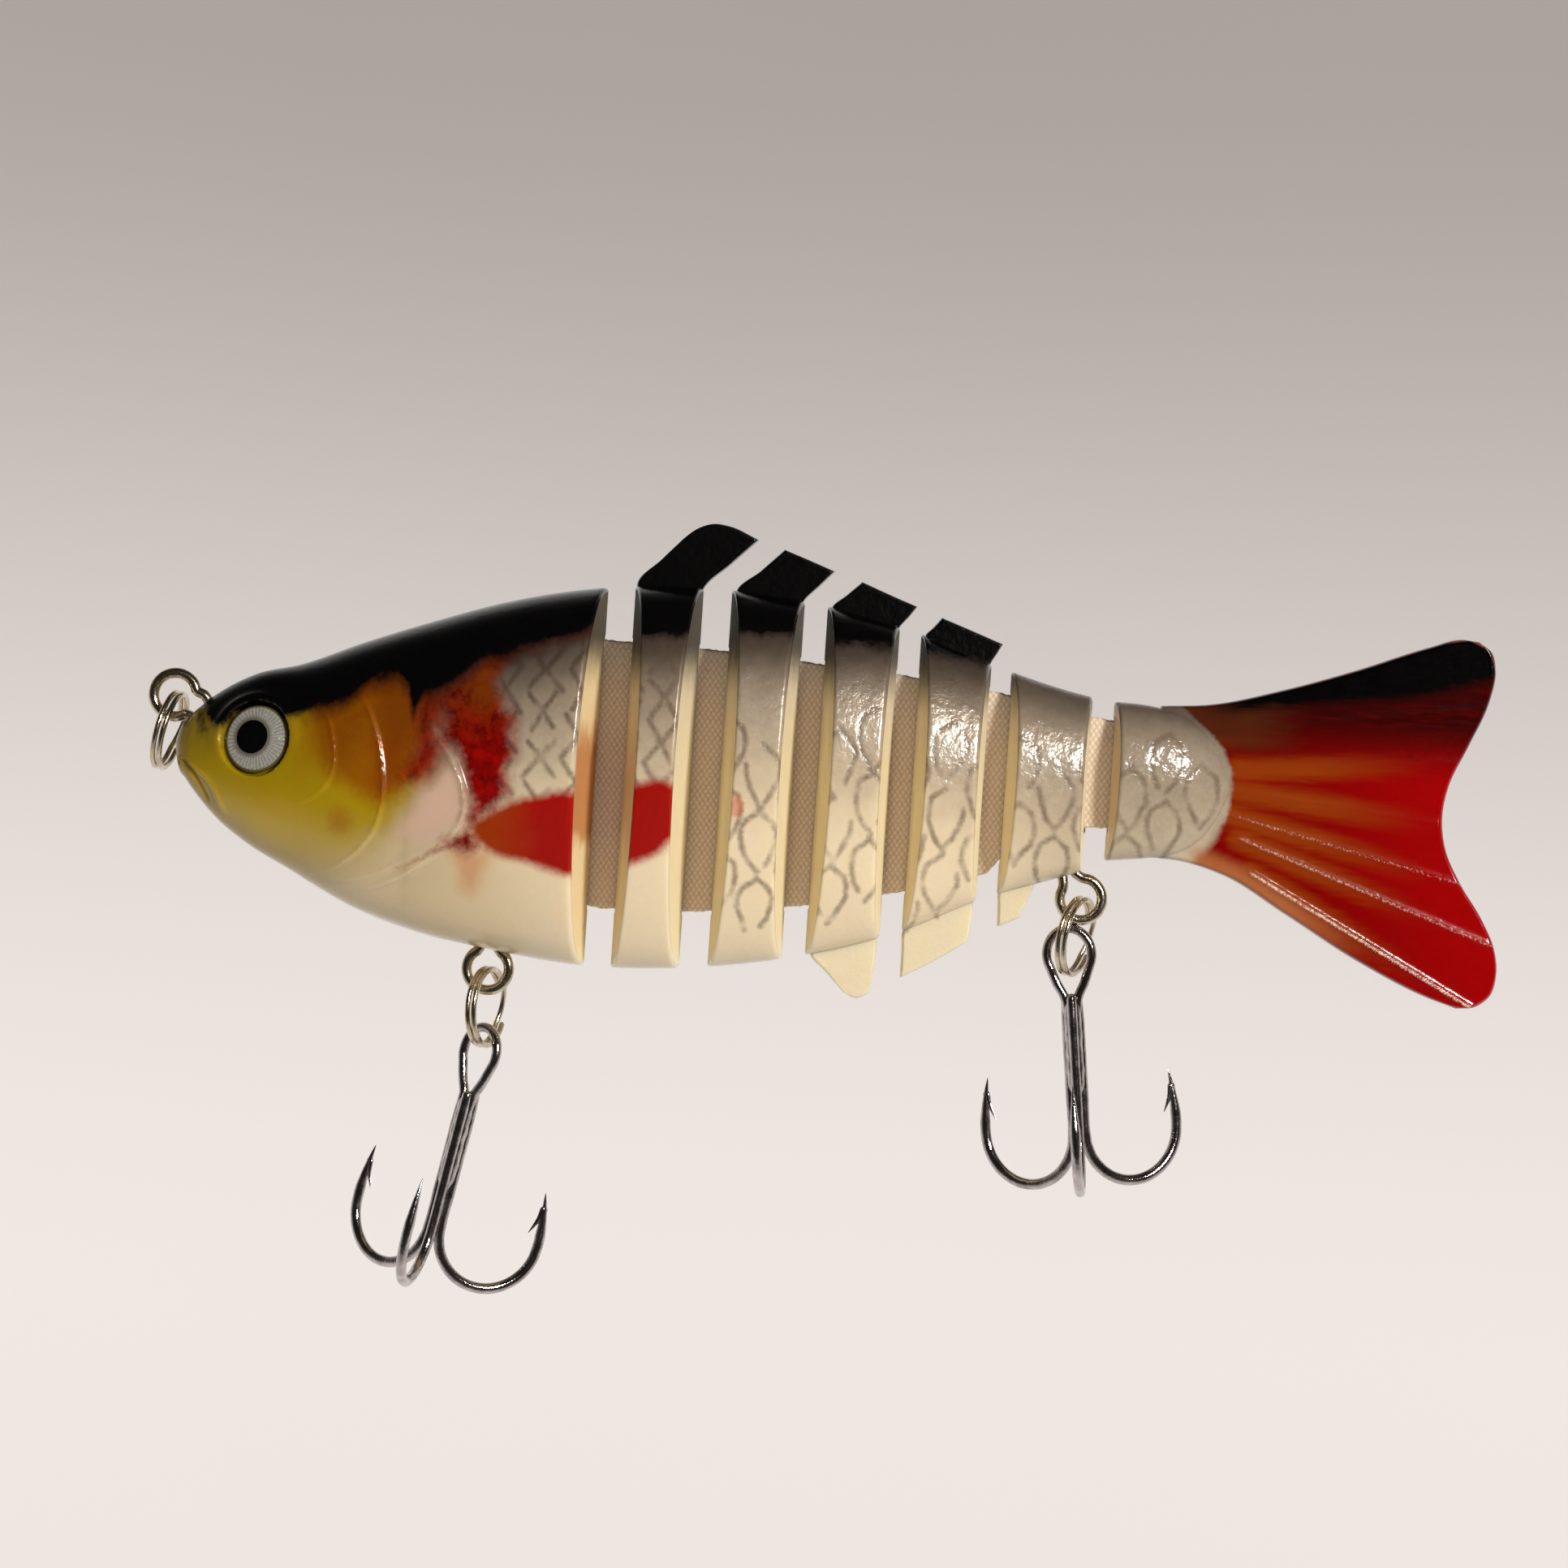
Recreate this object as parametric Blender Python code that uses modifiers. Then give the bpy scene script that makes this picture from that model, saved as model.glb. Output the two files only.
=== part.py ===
# Seven-piece jointed swimbait: hollow half shells on a woven hinge strip, wire eyes,
# split rings and treble hooks. +X runs from nose to tail, +Z to the dorsal side, and the
# left flank faces -Y. The origin is the centre of the line tie's loop.
import math

import bmesh
import bpy
import numpy as np
from mathutils import Matrix, Vector

MM = 0.001

# ---- driving dimensions, in millimetres ----
BODY_GAP = 0.15            # each half shell stops this far from the middle plane
CLEARANCE = 0.3            # gap kept between pieces that touch
WALL = 1.4                 # shell wall
END_WALL = 1.2             # wall across the ends of a segment
FACE_SLOPE = math.tan(math.radians(8.5))   # end faces lean away from the gaps
STRIP_HALF = 0.25          # half thickness of the woven strip
SLOT_HALF = STRIP_HALF + CLEARANCE
FIN_THICK = 0.6            # thickness of each half of a dorsal or lower fin
TAIL_THICK = 0.85          # thickness of each half of the tail fin
FIN_SINK = 0.03            # the fins' inner faces lie this far outside the shells' joint face
PEG_RADIUS = 0.6
SOCKET_RADIUS = PEG_RADIUS + CLEARANCE
BOSS_RADIUS = 1.5
BOSS_SINK = 0.05           # bosses end this far short of the slot's or the joint's face
PEG_REACH = 2.4            # how far a peg passes the middle plane

NOSE_X = 0.32
HEAD_REAR_X = 32.2
HEAD_CAVITY = (10.5, 31.0)
SEGMENTS = {               # first and last X at the middle plane
    "segment_2": (34.2, 39.4),
    "segment_3": (41.5, 47.1),
    "segment_4": (48.8, 54.4),
    "segment_5": (56.0, 61.5),
    "segment_6": (63.0, 69.3),
}
TAIL_X = 70.95
BULGE_END_X = 79.9
HINGES_X = (33.2, 40.45, 47.95, 55.2, 62.25, 70.13)

# outline knots: X, top Z, bottom Z, half width
BODY_KNOTS = np.array([
    (0.32, -3.30, -4.10, 0.35),
    (0.60, -2.45, -5.35, 1.00),
    (1.20, -1.60, -6.25, 1.65),
    (2.20, -0.55, -7.50, 2.25),
    (3.70, 0.65, -9.05, 3.00),
    (6.00, 1.95, -10.75, 3.95),
    (9.50, 2.95, -12.60, 5.10),
    (14.0, 4.85, -14.95, 6.50),
    (19.0, 6.75, -16.60, 7.45),
    (25.0, 8.75, -17.65, 8.10),
    (32.2, 10.25, -18.40, 8.30),
    (40.4, 10.70, -18.00, 7.90),
    (48.0, 10.05, -16.70, 7.05),
    (55.2, 8.55, -14.55, 6.00),
    (62.2, 6.15, -11.30, 4.90),
    (69.3, 4.40, -8.80, 3.90),
    (72.0, 4.05, -7.70, 3.50),
])
BULGE_KNOTS = np.array([
    (70.0, 4.20, -8.00, 3.65),
    (74.0, 4.00, -7.50, 3.20),
    (76.5, 3.40, -7.05, 2.80),
    (78.3, 1.90, -5.70, 2.20),
    (79.4, 0.10, -3.90, 1.60),
    (79.9, -1.00, -2.60, 1.15),
])
STRIP_KNOTS = np.array([   # X, top Z and bottom Z of the woven strip
    (26.6, 6.4, -13.2),
    (33.2, 6.3, -14.0),
    (40.4, 6.1, -13.8),
    (47.9, 5.6, -12.9),
    (55.2, 5.1, -11.4),
    (62.2, 4.3, -9.4),
    (65.2, 3.7, -5.5),
    (69.4, 2.9, -5.5),
    (76.2, 2.2, -5.2),
])

DORSAL_FINS = {
    "segment_2": ((34.3, 10.6), (37.7, 14.4), (38.7, 15.2), (39.9, 15.6), (40.9, 15.5),
                  (43.3, 14.6), (39.35, 10.6), (39.0, 9.4), (34.6, 9.4)),
    "segment_3": ((41.8, 10.5), (45.3, 14.0), (49.2, 12.6), (47.0, 10.2), (46.6, 9.2),
                  (42.0, 9.2)),
    "segment_4": ((49.1, 9.8), (51.3, 11.95), (55.6, 10.35), (54.35, 8.7), (54.0, 7.7),
                  (49.3, 8.6)),
    "segment_5": ((56.3, 8.2), (57.5, 9.65), (62.25, 7.95), (61.45, 6.5), (61.1, 5.4),
                  (56.5, 7.0)),
}
LOWER_FINS = {
    "segment_4": ((49.2, -16.3), (51.9, -19.1), (52.8, -19.5), (54.0, -18.7), (54.2, -15.0),
                  (54.0, -13.9), (49.4, -15.2)),
    "segment_5": ((56.1, -14.0), (56.1, -17.75), (58.3, -16.5), (61.0, -14.7), (61.3, -11.9),
                  (61.0, -10.8), (56.5, -12.9)),
    "segment_6": ((63.1, -10.5), (63.2, -13.4), (64.8, -12.6), (65.8, -9.9), (65.6, -8.7),
                  (63.4, -9.4)),
}
TAIL_UPPER_EDGE = ((74.5, 4.1), (78.2, 4.45), (83.6, 5.9), (89.0, 7.75), (94.4, 9.85),
                   (96.8, 10.6), (98.1, 10.5), (99.2, 9.7), (99.55, 8.3), (99.2, 5.9),
                   (97.9, 2.6), (96.6, -0.5), (96.25, -2.6), (96.6, -5.2), (97.9, -7.8),
                   (99.7, -10.4))
TAIL_LOWER_EDGE = ((100.8, -12.6), (101.1, -14.4), (100.7, -16.2), (99.6, -17.1), (98.2, -17.3),
                   (95.9, -16.6), (90.5, -14.2), (84.8, -11.0), (80.0, -8.4), (77.0, -7.6),
                   (74.5, -7.4))

# wires
TIE_WIRE = 0.41            # wire radii
HANGER_WIRE = 0.40
RING_WIRE = 0.21
HOOK_WIRE = 0.42
EYE_WIRE = 0.37
TIE_LOOP = 1.64            # loop radii on the wire's middle
HANGER_LOOP = 1.60
RING_RADIUS = 2.87
STRAND_OFFSET = 0.25       # the two strands of a split ring lie this far each side
BELLY_HANGER = (24.95, -19.15)
REAR_HANGER = (69.40, -10.90)
REAR_HANGER_LEAN = 31.0    # degrees from straight down, towards the tail

# split rings: X and Z of the top strand's middle, lean towards the head, turn about +Z
RINGS = {
    "nose_split_ring": ((0.35, 0.10), 12.0, 6.0),
    "belly_split_ring": ((25.05, -19.15), 0.0, 20.0),
    "rear_split_ring": ((69.60, -10.90), 8.0, 25.0),
}
# treble hooks: X and Z of the top of the eye, lean towards the head, eye turn, prong turn
HOOKS = {
    "belly_treble_hook": ((25.15, -23.60), 11.0, 40.0, 9.0),
    "rear_treble_hook": ((68.55, -13.20), -7.0, 5.0, 6.0),
}
EYE_HOLE_SPLIT = 0.53      # distance of each shank wire from the shank's middle
EYE_HALF_WIDTH = 1.70
EYE_HALF_HEIGHT = 1.95
EYE_NECK = 5.3             # where the eye closes into the shank, below its top
BEND_RADIUS = 3.95
BEND_DEPTH = 15.5          # depth of the bend's centre below the eye's top
POINT_DEPTH = 11.3

EYE_CENTRE = (6.65, -2.85)
EYE_RADIUS = 2.55
EYE_RECESS = 1.1
BALLAST = (12.9, 26.5, -9.6, 2.9)    # first X, last X, Z and radius

HEAD_PEGS = ((12.9, -2.6), (28.9, 3.2), (28.9, -10.6))
TAIL_PEGS = ((74.0, 0.4), (74.0, -3.9))


# ---- scene ----
def clear_scene():
    for obj in list(bpy.data.objects):
        bpy.data.objects.remove(obj, do_unlink=True)


def new_collection(name, hidden=False):
    collection = bpy.data.collections.new(name)
    collection.hide_render = hidden
    bpy.context.scene.collection.children.link(collection)
    return collection


def new_material(name, colour, roughness, metallic=0.0):
    material = bpy.data.materials.new(name)
    material.use_nodes = True
    shader = material.node_tree.nodes["Principled BSDF"]
    shader.inputs["Base Color"].default_value = (*colour, 1.0)
    shader.inputs["Roughness"].default_value = roughness
    shader.inputs["Metallic"].default_value = metallic
    material.diffuse_color = (*colour, 1.0)
    return material


clear_scene()
PARTS = new_collection("swimbait")
TOOLS = new_collection("swimbait_cutters", hidden=True)


def new_object(name, mesh, material=None, location=(0.0, 0.0, 0.0)):
    """Adds a mesh whose points are world millimetres, with its origin at location (mm)."""
    mesh.transform(Matrix.Scale(MM, 4) @ Matrix.Translation(-Vector(location)))
    obj = bpy.data.objects.new(name, mesh)
    obj.location = Vector(location) * MM
    if material is None:
        TOOLS.objects.link(obj)
        obj.hide_render = True
        obj.display_type = "WIRE"
    else:
        PARTS.objects.link(obj)
        mesh.materials.append(material)
        mesh.shade_smooth()
        mesh.set_sharp_from_angle(angle=math.radians(35.0))
    return obj


def use_boolean(target, tool, operation):
    modifier = target.modifiers.new(f"{operation.lower()}_{tool.name}"[:60], "BOOLEAN")
    modifier.operation = operation
    modifier.solver = "EXACT"
    modifier.object = tool


# ---- shapes ----
def to_mesh(bm, name):
    bmesh.ops.recalc_face_normals(bm, faces=bm.faces)
    mesh = bpy.data.meshes.new(name)
    bm.to_mesh(mesh)
    bm.free()
    return mesh


def smooth_values(knots, x):
    """Reads the columns after the first at x, on a cubic through the knots."""
    xs = knots[:, 0]
    slopes = np.gradient(knots[:, 1:], xs, axis=0)
    i = int(np.clip(np.searchsorted(xs, x) - 1, 0, len(xs) - 2))
    span = xs[i + 1] - xs[i]
    t = np.clip((x - xs[i]) / span, 0.0, 1.0)
    a, b = knots[i, 1:], knots[i + 1, 1:]
    h10 = t**3 - 2 * t**2 + t
    h01 = 3 * t**2 - 2 * t**3
    h11 = t**3 - t**2
    return a + (b - a) * h01 + span * (h10 * slopes[i] + h11 * slopes[i + 1])


def loft(name, rings):
    """A closed body over rings of points, each ring one loop, with a flat cap at each end."""
    bm = bmesh.new()
    loops = [[bm.verts.new(point) for point in ring] for ring in rings]
    count = len(loops[0])
    for first, second in zip(loops, loops[1:]):
        for i in range(count):
            j = (i + 1) % count
            bm.faces.new((first[i], first[j], second[j], second[i]))
    bm.faces.new(loops[0])
    bm.faces.new(loops[-1])
    bmesh.ops.triangulate(bm, faces=bm.faces)
    return to_mesh(bm, name)


def half_loft(name, knots, ends, side, steps, slopes, inset=0.0, through=0.0, around=10):
    """Half a body between two end faces, from the middle plane out to the flank.

    ends are the X of the faces at the middle plane, slopes how far each face leans in per
    millimetre of width, and inset how far every wall lies inside the outer surface. A cutter
    also runs through the middle plane, by the distance through.
    """
    rings = []
    edge = 0.4 if through else BODY_GAP
    for u in steps:
        ring = []
        for k in range(around + 1):
            turn = math.pi * k / around
            y = 0.0
            for _ in range(3):
                x = (ends[0] + slopes[0] * y) * (1 - u) + (ends[1] - slopes[1] * y) * u
                top, bottom, half = smooth_values(knots, x)
                y = edge + (half - inset - edge) * math.sin(turn) ** 0.9
            centre = (top + bottom) / 2
            height = (top - bottom) / 2 - inset
            x = (ends[0] + slopes[0] * y) * (1 - u) + (ends[1] - slopes[1] * y) * u
            ring.append((x, side * y, centre + height * math.cos(turn)))
        if through:
            first, last = ring[0], ring[-1]
            ring.append((last[0], -side * through, last[2]))
            ring.append((first[0], -side * through, first[2]))
        rings.append(ring)
    return loft(name, rings)


def prism(name, outline, y0, y1):
    """A flat outline in X and Z, extruded from y0 to y1."""
    bm = bmesh.new()
    face = bm.faces.new([bm.verts.new((x, y0, z)) for x, z in outline])
    grown = bmesh.ops.extrude_face_region(bm, geom=[face])
    moved = [item for item in grown["geom"] if isinstance(item, bmesh.types.BMVert)]
    bmesh.ops.translate(bm, vec=(0.0, y1 - y0, 0.0), verts=moved)
    return to_mesh(bm, name)


def cylinder(name, start, end, radius, sides=12):
    """A round bar from start to end."""
    start, end = Vector(start), Vector(end)
    along = end - start
    bm = bmesh.new()
    bmesh.ops.create_cone(bm, cap_ends=True, segments=sides, radius1=radius, radius2=radius,
                          depth=along.length)
    turn = along.to_track_quat("Z", "Y").to_matrix().to_4x4()
    bmesh.ops.transform(bm, matrix=Matrix.Translation((start + end) / 2) @ turn, verts=bm.verts)
    return to_mesh(bm, name)


def wire_curve(name, points, radius, taper=None):
    """A round wire along world points in millimetres, as a curve in metres."""
    curve = bpy.data.curves.new(name, "CURVE")
    curve.dimensions = "3D"
    curve.bevel_depth = radius * MM
    curve.bevel_resolution = 2
    curve.use_fill_caps = True
    spline = curve.splines.new("POLY")
    spline.points.add(len(points) - 1)
    for i, (item, point) in enumerate(zip(spline.points, points)):
        item.co = (*(Vector(point) * MM), 1.0)
        item.radius = 1.0 if taper is None else taper[i]
    return curve


def wire_mesh(name, points, radius, taper=None):
    """The same wire as a closed mesh in millimetres, with its caps welded on."""
    guide = bpy.data.objects.new(name + "_guide", wire_curve(name, points, radius, taper))
    TOOLS.objects.link(guide)
    graph = bpy.context.evaluated_depsgraph_get()
    mesh = bpy.data.meshes.new_from_object(guide.evaluated_get(graph))
    bpy.data.objects.remove(guide, do_unlink=True)
    bm = bmesh.new()
    bm.from_mesh(mesh)
    bmesh.ops.remove_doubles(bm, verts=bm.verts, dist=1e-7)
    bmesh.ops.scale(bm, vec=(1 / MM,) * 3, verts=bm.verts)
    bpy.data.meshes.remove(mesh)
    return to_mesh(bm, name)


def turned(name, profile, centre, axis, material):
    """A turned piece: a profile of radius and height, screwed round its own axis."""
    bm = bmesh.new()
    points = [bm.verts.new((r * MM, 0.0, h * MM)) for r, h in profile]
    for first, second in zip(points, points[1:]):
        bm.edges.new((first, second))
    mesh = bpy.data.meshes.new(name)
    bm.to_mesh(mesh)
    bm.free()
    obj = bpy.data.objects.new(name, mesh)
    PARTS.objects.link(obj)
    mesh.materials.append(material)
    screw = obj.modifiers.new("screw", "SCREW")
    screw.steps = 24
    screw.render_steps = 24
    screw.use_merge_vertices = True
    screw.merge_threshold = 0.000001
    screw.use_smooth_shade = True
    obj.matrix_world = (Matrix.Translation(Vector(centre) * MM)
                        @ Vector(axis).to_track_quat("Z", "Y").to_matrix().to_4x4())
    return obj


def arc(centre, radius, first, last, count):
    """Points in X and Z on an arc, angles in degrees from +X towards +Z."""
    angles = np.radians(np.linspace(first, last, count))
    return [(centre[0] + radius * math.cos(a), centre[1] + radius * math.sin(a)) for a in angles]


def in_plane(points):
    return [(x, 0.0, z) for x, z in points]


# ---- wire eyes ----
def tie_path():
    loop = arc((0.0, 0.0), TIE_LOOP, -62.0, -345.0, 18)
    lower = [(5.9, -3.6), (5.5, -2.5), (3.4, -2.2), (1.7, -1.75)]
    upper = [(2.2, 0.1), (2.6, -0.35), (3.5, -0.75), (5.3, -0.95), (5.9, -0.2)]
    return in_plane(lower + loop + upper)


def hanger_path(centre, lean):
    """A loop below two straight legs, whose ends turn outwards as anchors."""
    spread = HANGER_LOOP * math.cos(math.radians(58.0))
    rise = HANGER_LOOP * math.sin(math.radians(58.0))
    loop = arc((0.0, 0.0), HANGER_LOOP, 58.0, -238.0, 16)
    top = rise + 3.3
    right = [(spread + 1.5, top), (spread + 0.4, top), (spread, top - 0.4)]
    left = [(-spread, top - 0.4), (-spread - 0.4, top), (-spread - 1.5, top)]
    turn = math.radians(lean)
    c, s = math.cos(turn), math.sin(turn)
    return in_plane([(centre[0] + x * c - z * s, centre[1] + x * s + z * c)
                     for x, z in right + loop + left])


# ---- split rings and hooks ----
def hanging_frame(lean, turn):
    """Down, sideways and forward directions of a piece that hangs in the middle plane."""
    lean, turn = math.radians(lean), math.radians(turn)
    down = Vector((-math.sin(lean), 0.0, -math.cos(lean)))
    side = Matrix.Rotation(turn, 3, down) @ Vector((0.0, 1.0, 0.0))
    return down, side, side.cross(down)


def ring_path(top, lean, turn):
    """Two strands side by side, with the crossing between them on one side of the ring."""
    down, side, normal = hanging_frame(lean, turn)
    centre = Vector((top[0], 0.0, top[1])) + down * RING_RADIUS
    points = []
    for degrees in np.linspace(30.0, 690.0, 41):
        angle = math.radians(degrees)
        shift = float(np.clip((degrees - 360.0) / 30.0, -1.0, 1.0)) * STRAND_OFFSET
        points.append(centre + RING_RADIUS * (math.cos(angle) * side + math.sin(angle) * down)
                      + shift * normal)
    return points


def prong_path(azimuth, frame, top):
    """From the shank's top down round the bend to the point, and the wire's taper."""
    down, side, normal = frame
    out = math.cos(azimuth) * side + math.sin(azimuth) * normal
    centre = EYE_HOLE_SPLIT + BEND_RADIUS
    flat = [(EYE_HOLE_SPLIT, EYE_NECK + 0.6), (EYE_HOLE_SPLIT, 9.5), (EYE_HOLE_SPLIT, 13.0)]
    for degrees in np.linspace(180.0, 0.0, 11):
        angle = math.radians(degrees)
        flat.append((centre + BEND_RADIUS * math.cos(angle),
                     BEND_DEPTH + BEND_RADIUS * math.sin(angle)))
    tip = centre + BEND_RADIUS
    flat += [(tip - 0.08, 13.6), (tip - 0.22, 12.6), (tip - 0.45, POINT_DEPTH)]
    taper = [1.0] * (len(flat) - 2) + [0.8, 0.12]
    return [top + out * r + down * s for r, s in flat], taper


def ring_bottom(top, lean):
    """The middle of the strand that a hook's eye hangs on, which is the hook's pivot."""
    down = hanging_frame(lean, 0.0)[0]
    return Vector((top[0], 0.0, top[1])) + down * 2 * RING_RADIUS


def treble(name, place, pivot, material):
    (x, z), lean, eye_turn, prong_turn = place
    top = Vector((x, 0.0, z))
    frame = hanging_frame(lean, prong_turn)
    down = frame[0]
    eye_side = hanging_frame(lean, eye_turn)[2]
    # azimuth 0 is +Y, so the third prong looks to -Y and the paired prongs to the ends
    third, taper = prong_path(math.pi, frame, top)
    first, _ = prong_path(math.radians(60.0), frame, top)
    second, _ = prong_path(math.radians(-60.0), frame, top)
    eye = []
    for degrees in np.linspace(118.0, -118.0, 13):
        angle = math.radians(degrees)
        eye.append(top + eye_side * EYE_HALF_WIDTH * math.sin(angle)
                   + down * EYE_HALF_HEIGHT * (1.0 - math.cos(angle)))
    pair = list(reversed(first)) + eye + second
    pair_taper = list(reversed(taper)) + [EYE_WIRE / HOOK_WIRE] * len(eye) + taper
    hook = new_object(name, wire_mesh(name, pair, HOOK_WIRE, pair_taper), material, pivot)
    third_wire = new_object(name + "_third", wire_mesh(name + "_third", third, HOOK_WIRE, taper))
    braze = new_object(name + "_braze", cylinder(name + "_braze", top + down * (EYE_NECK + 0.9),
                                                 top + down * 14.0, 0.36, 8))
    use_boolean(hook, braze, "UNION")
    use_boolean(hook, third_wire, "UNION")
    return hook


# ---- shells ----
def add_bosses(shell, name, side, pegs, knots, slotted):
    """Bosses from the flank to the middle plane: pegs on the left half, sockets on the right."""
    face = BOSS_SINK + (SLOT_HALF if slotted else BODY_GAP)
    for i, (x, z) in enumerate(pegs):
        top, bottom, half = smooth_values(knots, x)
        level = (z - (top + bottom) / 2) / ((top - bottom) / 2)
        root = half * math.sqrt(max(1.0 - level * level, 0.1)) - 0.7 * WALL
        tag = f"{name}_{i}"
        boss = new_object(tag + "_boss", cylinder(tag, (x, side * root, z),
                                                  (x, side * face, z), BOSS_RADIUS))
        use_boolean(shell, boss, "UNION")
        if side < 0:
            peg = new_object(tag + "_peg", cylinder(tag, (x, side * (face + 0.5), z),
                                                    (x, PEG_REACH, z), PEG_RADIUS, 10))
            use_boolean(shell, peg, "UNION")
        else:
            hole = new_object(tag + "_hole", cylinder(tag, (x, 0.0, z),
                                                      (x, PEG_REACH + 0.4, z), SOCKET_RADIUS, 10))
            use_boolean(shell, hole, "DIFFERENCE")


def strip_edge(x0, x1):
    """The strip's outline between two X: along the bottom edge, then back along the top."""
    inner = [x for x in STRIP_KNOTS[:, 0] if x0 + 0.5 < x < x1 - 0.5]
    xs = [x0, *inner, x1]
    tops = np.interp(xs, STRIP_KNOTS[:, 0], STRIP_KNOTS[:, 1])
    bottoms = np.interp(xs, STRIP_KNOTS[:, 0], STRIP_KNOTS[:, 2])
    return xs, tops, bottoms


def cut_slot(shell, name, x0, x1, side):
    xs, tops, bottoms = strip_edge(x0, x1)
    outline = [(x, z - CLEARANCE) for x, z in zip(xs, bottoms)]
    outline += [(x, z + CLEARANCE) for x, z in reversed(list(zip(xs, tops)))]
    low, high = sorted((-side * 0.5, side * SLOT_HALF))
    use_boolean(shell, new_object(name + "_slot", prism(name + "_slot", outline, low, high)),
                "DIFFERENCE")


def add_fin(shell, name, outline, side, thick):
    inner = BODY_GAP + FIN_SINK
    low, high = sorted((side * inner, side * (inner + thick)))
    use_boolean(shell, new_object(name, prism(name, outline, low, high)), "UNION")


def cut_channel(shell, tag, path, radius):
    """Room for a wire between the half shells."""
    channel = wire_mesh(tag, path, radius + CLEARANCE)
    use_boolean(shell, new_object(tag, channel), "DIFFERENCE")


def segment_half(name, ends, side, hinge_x, material):
    label = f"{name}_{'left' if side < 0 else 'right'}"
    slopes = (FACE_SLOPE, FACE_SLOPE)
    shell = new_object(label, half_loft(label, BODY_KNOTS, ends, side, (0.0, 0.5, 1.0), slopes),
                       material, (hinge_x, 0.0, 0.0))
    for kind, fins in (("dorsal", DORSAL_FINS), ("lower", LOWER_FINS)):
        if name in fins:
            add_fin(shell, f"{label}_{kind}", fins[name], side, FIN_THICK)
    room = half_loft(label + "_room", BODY_KNOTS, (ends[0] + END_WALL, ends[1] - END_WALL), side,
                     (0.0, 1.0), slopes, inset=WALL, through=1.0, around=8)
    use_boolean(shell, new_object(label + "_room", room), "DIFFERENCE")
    middle = (ends[0] + ends[1]) / 2
    pegs = segment_pegs(middle)
    cut_slot(shell, label, ends[0] - 1.0, ends[1] + 1.0, side)
    add_bosses(shell, label, side, pegs, BODY_KNOTS, True)
    return shell


def segment_pegs(middle):
    top = np.interp(middle, STRIP_KNOTS[:, 0], STRIP_KNOTS[:, 1])
    bottom = np.interp(middle, STRIP_KNOTS[:, 0], STRIP_KNOTS[:, 2])
    return ((middle, top - 2.2), (middle, bottom + 2.4))


def eye_frame(side):
    """The point of the flank under the eye's centre, and the direction out of it."""
    def flank(x, z):
        top, bottom, half = smooth_values(BODY_KNOTS, x)
        level = (z - (top + bottom) / 2) / ((top - bottom) / 2)
        return half * math.sqrt(1.0 - level * level)
    x, z = EYE_CENTRE
    step = 1.5
    along = (flank(x + step, z) - flank(x - step, z)) / (2 * step)
    up = (flank(x, z + step) - flank(x, z - step)) / (2 * step)
    normal = Vector((-along, 1.0, -up)).normalized()
    return (Vector((x, side * flank(x, z), z)), Vector((normal.x, side * normal.y, normal.z)))


def head_half(side, material):
    label = f"head_shell_{'left' if side < 0 else 'right'}"
    knots_x = BODY_KNOTS[:, 0]
    steps = [(x - NOSE_X) / (HEAD_REAR_X - NOSE_X) for x in knots_x if x <= HEAD_REAR_X]
    shell = new_object(label, half_loft(label, BODY_KNOTS, (NOSE_X, HEAD_REAR_X), side, steps,
                                        (0.0, FACE_SLOPE)), material)
    room = half_loft(label + "_room", BODY_KNOTS, HEAD_CAVITY, side, (0.0, 0.25, 0.5, 1.0),
                     (0.0, FACE_SLOPE), inset=WALL, through=1.0, around=10)
    use_boolean(shell, new_object(label + "_room", room), "DIFFERENCE")
    cut_slot(shell, label, STRIP_KNOTS[0, 0] - CLEARANCE, HEAD_REAR_X + 1.0, side)
    add_bosses(shell, label + "_front", side, HEAD_PEGS[:1], BODY_KNOTS, False)
    add_bosses(shell, label, side, HEAD_PEGS[1:], BODY_KNOTS, True)
    cut_channel(shell, label + "_tie_channel", tie_path(), TIE_WIRE)
    cut_channel(shell, label + "_hanger_channel", hanger_path(BELLY_HANGER, 0.0), HANGER_WIRE)
    centre, normal = eye_frame(side)
    recess = cylinder(label + "_eye", centre - normal * EYE_RECESS, centre + normal * 3.0,
                      EYE_RADIUS + CLEARANCE, 24)
    use_boolean(shell, new_object(label + "_eye", recess), "DIFFERENCE")
    return shell


def tail_half(side, material):
    label = f"tail_half_{'left' if side < 0 else 'right'}"
    steps = (0.0, 0.34, 0.62, 0.82, 0.94, 1.0)
    shell = new_object(label, half_loft(label, BULGE_KNOTS, (TAIL_X, BULGE_END_X), side, steps,
                                        (FACE_SLOPE, 0.0)), material, (HINGES_X[-1], 0.0, 0.0))
    cut_slot(shell, label, TAIL_X - 1.0, STRIP_KNOTS[-1, 0] + CLEARANCE, side)
    add_fin(shell, label + "_fin", TAIL_UPPER_EDGE + TAIL_LOWER_EDGE, side, TAIL_THICK)
    cut_slot(shell, label + "_fin", TAIL_X - 1.0, STRIP_KNOTS[-1, 0] + CLEARANCE, side)
    add_bosses(shell, label, side, TAIL_PEGS, BULGE_KNOTS, True)
    return shell


def strip_piece(name, x0, x1, pegs, material, hinge_x):
    xs, tops, bottoms = strip_edge(x0, x1)
    outline = list(zip(xs, bottoms)) + list(reversed(list(zip(xs, tops))))
    strip = new_object(name, prism(name, outline, -STRIP_HALF, STRIP_HALF), material,
                       (hinge_x, 0.0, 0.0))
    for i, (x, z) in enumerate(pegs):
        hole = cylinder(f"{name}_{i}", (x, -1.0, z), (x, 1.0, z), SOCKET_RADIUS, 10)
        use_boolean(strip, new_object(f"{name}_{i}", hole), "DIFFERENCE")
    return strip


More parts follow.
